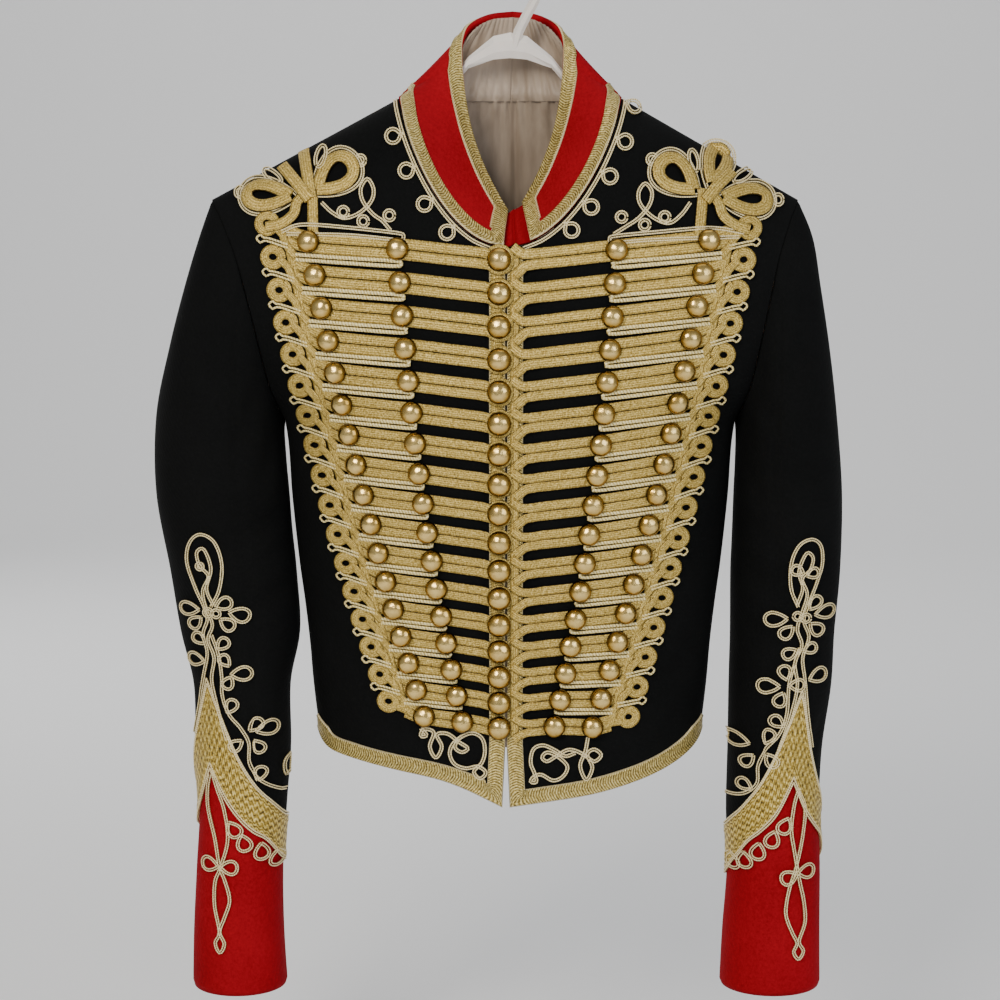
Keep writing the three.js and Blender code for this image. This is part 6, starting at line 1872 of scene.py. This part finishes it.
class JACKET_OT_hanger(bpy.types.Operator):
    """Gives the moulded hanger its finish"""
    bl_idname = "jacket.hanger"
    bl_label = "Hanger"

    def execute(self, context):
        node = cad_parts["hanger"]
        node.data.materials.clear()
        node.data.materials.append(finish("plastic"))
        return {"FINISHED"}


# The stage, in metres: the floor, where its sweep starts to rise, and the camera.
FLOOR_Z = -0.93
SWEEP_Y = 2.9
CAMERA_PLACE = (-0.0078, -2.1786, -0.1258)
CAMERA_AWAY = 2.2
VIEW_WIDTH = 0.78


def studio_light(name, size, power, spot, aim, tint="#FFFFFF"):
    lamp = bpy.data.lights.new(name, "AREA")
    lamp.size = size
    lamp.energy = power
    lamp.color = colour(tint)[:3]
    light = bpy.data.objects.new(name, lamp)
    light.location = spot
    light.rotation_euler = (Vector(aim) - Vector(spot)).to_track_quat("-Z", "Y").to_euler()
    bpy.context.scene.collection.objects.link(light)


class JACKET_OT_stage(bpy.types.Operator):
    """Sets the floor, the lights and the camera"""
    bl_idname = "jacket.stage"
    bl_label = "Stage"

    def execute(self, context):
        scene = context.scene
        # Floor and backdrop in one sweep.
        profile = [(-5.0, FLOOR_Z)] + [(y, FLOOR_Z) for y in np.linspace(-1, SWEEP_Y, 5)]
        for a in np.radians(np.arange(10, 91, 10)):
            profile.append((SWEEP_Y + math.sin(a), FLOOR_Z + 1 - math.cos(a)))
        profile += [(SWEEP_Y + 1, 1.0), (SWEEP_Y + 1, 3.0)]
        points = [(x * 1000, y * 1000, z * 1000) for y, z in profile for x in (-5, 5)]
        faces = [(2 * i, 2 * i + 1, 2 * i + 3, 2 * i + 2) for i in range(len(profile) - 1)]
        material, tree, shader = new_material("studio paper")
        feed(tree, shader, {"Base Color": tuple(scene.jacket_stage.floor_colour), "Roughness": 0.95})
        floor = put("stage_sweep", points, faces, [material])
        world = bpy.data.worlds.new("studio")
        world.use_nodes = True
        tree = world.node_tree
        feed(tree, tree.nodes["Background"], {"Color": colour("#E8EAED"), "Strength": 0.4})
        scene.world = world
        studio_light("key", 0.9, 42, (-0.9, -2.1, 0.9), (0, 0, -0.4), "#FFF8EE")
        studio_light("fill", 1.4, 20, (1.6, -1.9, 0.3), (0, 0, -0.45), "#F6F8FF")
        studio_light("top", 1.8, 10, (0.1, 0.5, 1.5), (0, 0, -0.3))
        studio_light("backdrop", 2.4, 25, (0, 2.2, 1.5), (0, 3.7, -0.5))
        studio_light("rear", 1.4, 12, (-1.3, 2.0, 0.5), (0, 0, -0.45))
        data = bpy.data.cameras.new("camera")
        data.sensor_width = 36
        data.lens = data.sensor_width * CAMERA_AWAY / VIEW_WIDTH
        camera = bpy.data.objects.new("camera", data)
        camera.location = CAMERA_PLACE
        aim = Vector((-0.0078, 0.0, -0.432))
        camera.rotation_euler = (aim - camera.location).to_track_quat("-Z", "Y").to_euler()
        scene.collection.objects.link(camera)
        scene.camera = camera
        return {"FINISHED"}


class JACKET_PT_panel(bpy.types.Panel):
    """Lists the jacket's pieces"""
    bl_idname = "JACKET_PT_panel"
    bl_label = "Jacket"
    bl_space_type = "VIEW_3D"
    bl_region_type = "UI"
    bl_category = "Jacket"

    def draw(self, context):
        layout = self.layout
        for group in (context.scene.jacket_cloth, context.scene.jacket_trim, context.scene.jacket_stage):
            for name in group.bl_rna.properties.keys():
                if name not in {"rna_type", "name"}:
                    layout.prop(group, name)
        for operator in OPERATORS:
            layout.operator(operator.bl_idname)


GROUPS = (
    ("jacket_cloth", JacketCloth), ("jacket_trim", JacketTrim), ("jacket_stage", JacketStage),
)
OPERATORS = (
    JACKET_OT_stage, JACKET_OT_cloth, JACKET_OT_collar, JACKET_OT_laces, JACKET_OT_frogging,
    JACKET_OT_buttons, JACKET_OT_knots, JACKET_OT_hanger,
)


def register():
    for _, group in GROUPS:
        bpy.utils.register_class(group)
    for name, group in GROUPS:
        setattr(bpy.types.Scene, name, PointerProperty(type=group))
    for one in (*OPERATORS, JACKET_PT_panel):
        bpy.utils.register_class(one)


def unregister():
    for one in (JACKET_PT_panel, *reversed(OPERATORS)):
        bpy.utils.unregister_class(one)
    for name, group in reversed(GROUPS):
        delattr(bpy.types.Scene, name)
        bpy.utils.unregister_class(group)


def main():
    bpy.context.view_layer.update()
    register()
    for operator in OPERATORS:
        group, name = operator.bl_idname.split(".")
        if getattr(getattr(bpy.ops, group), name)() != {"FINISHED"}:
            raise RuntimeError(f"{operator.bl_label} was not made")
    bpy.context.view_layer.update()


if __name__ == "__main__":
    main()
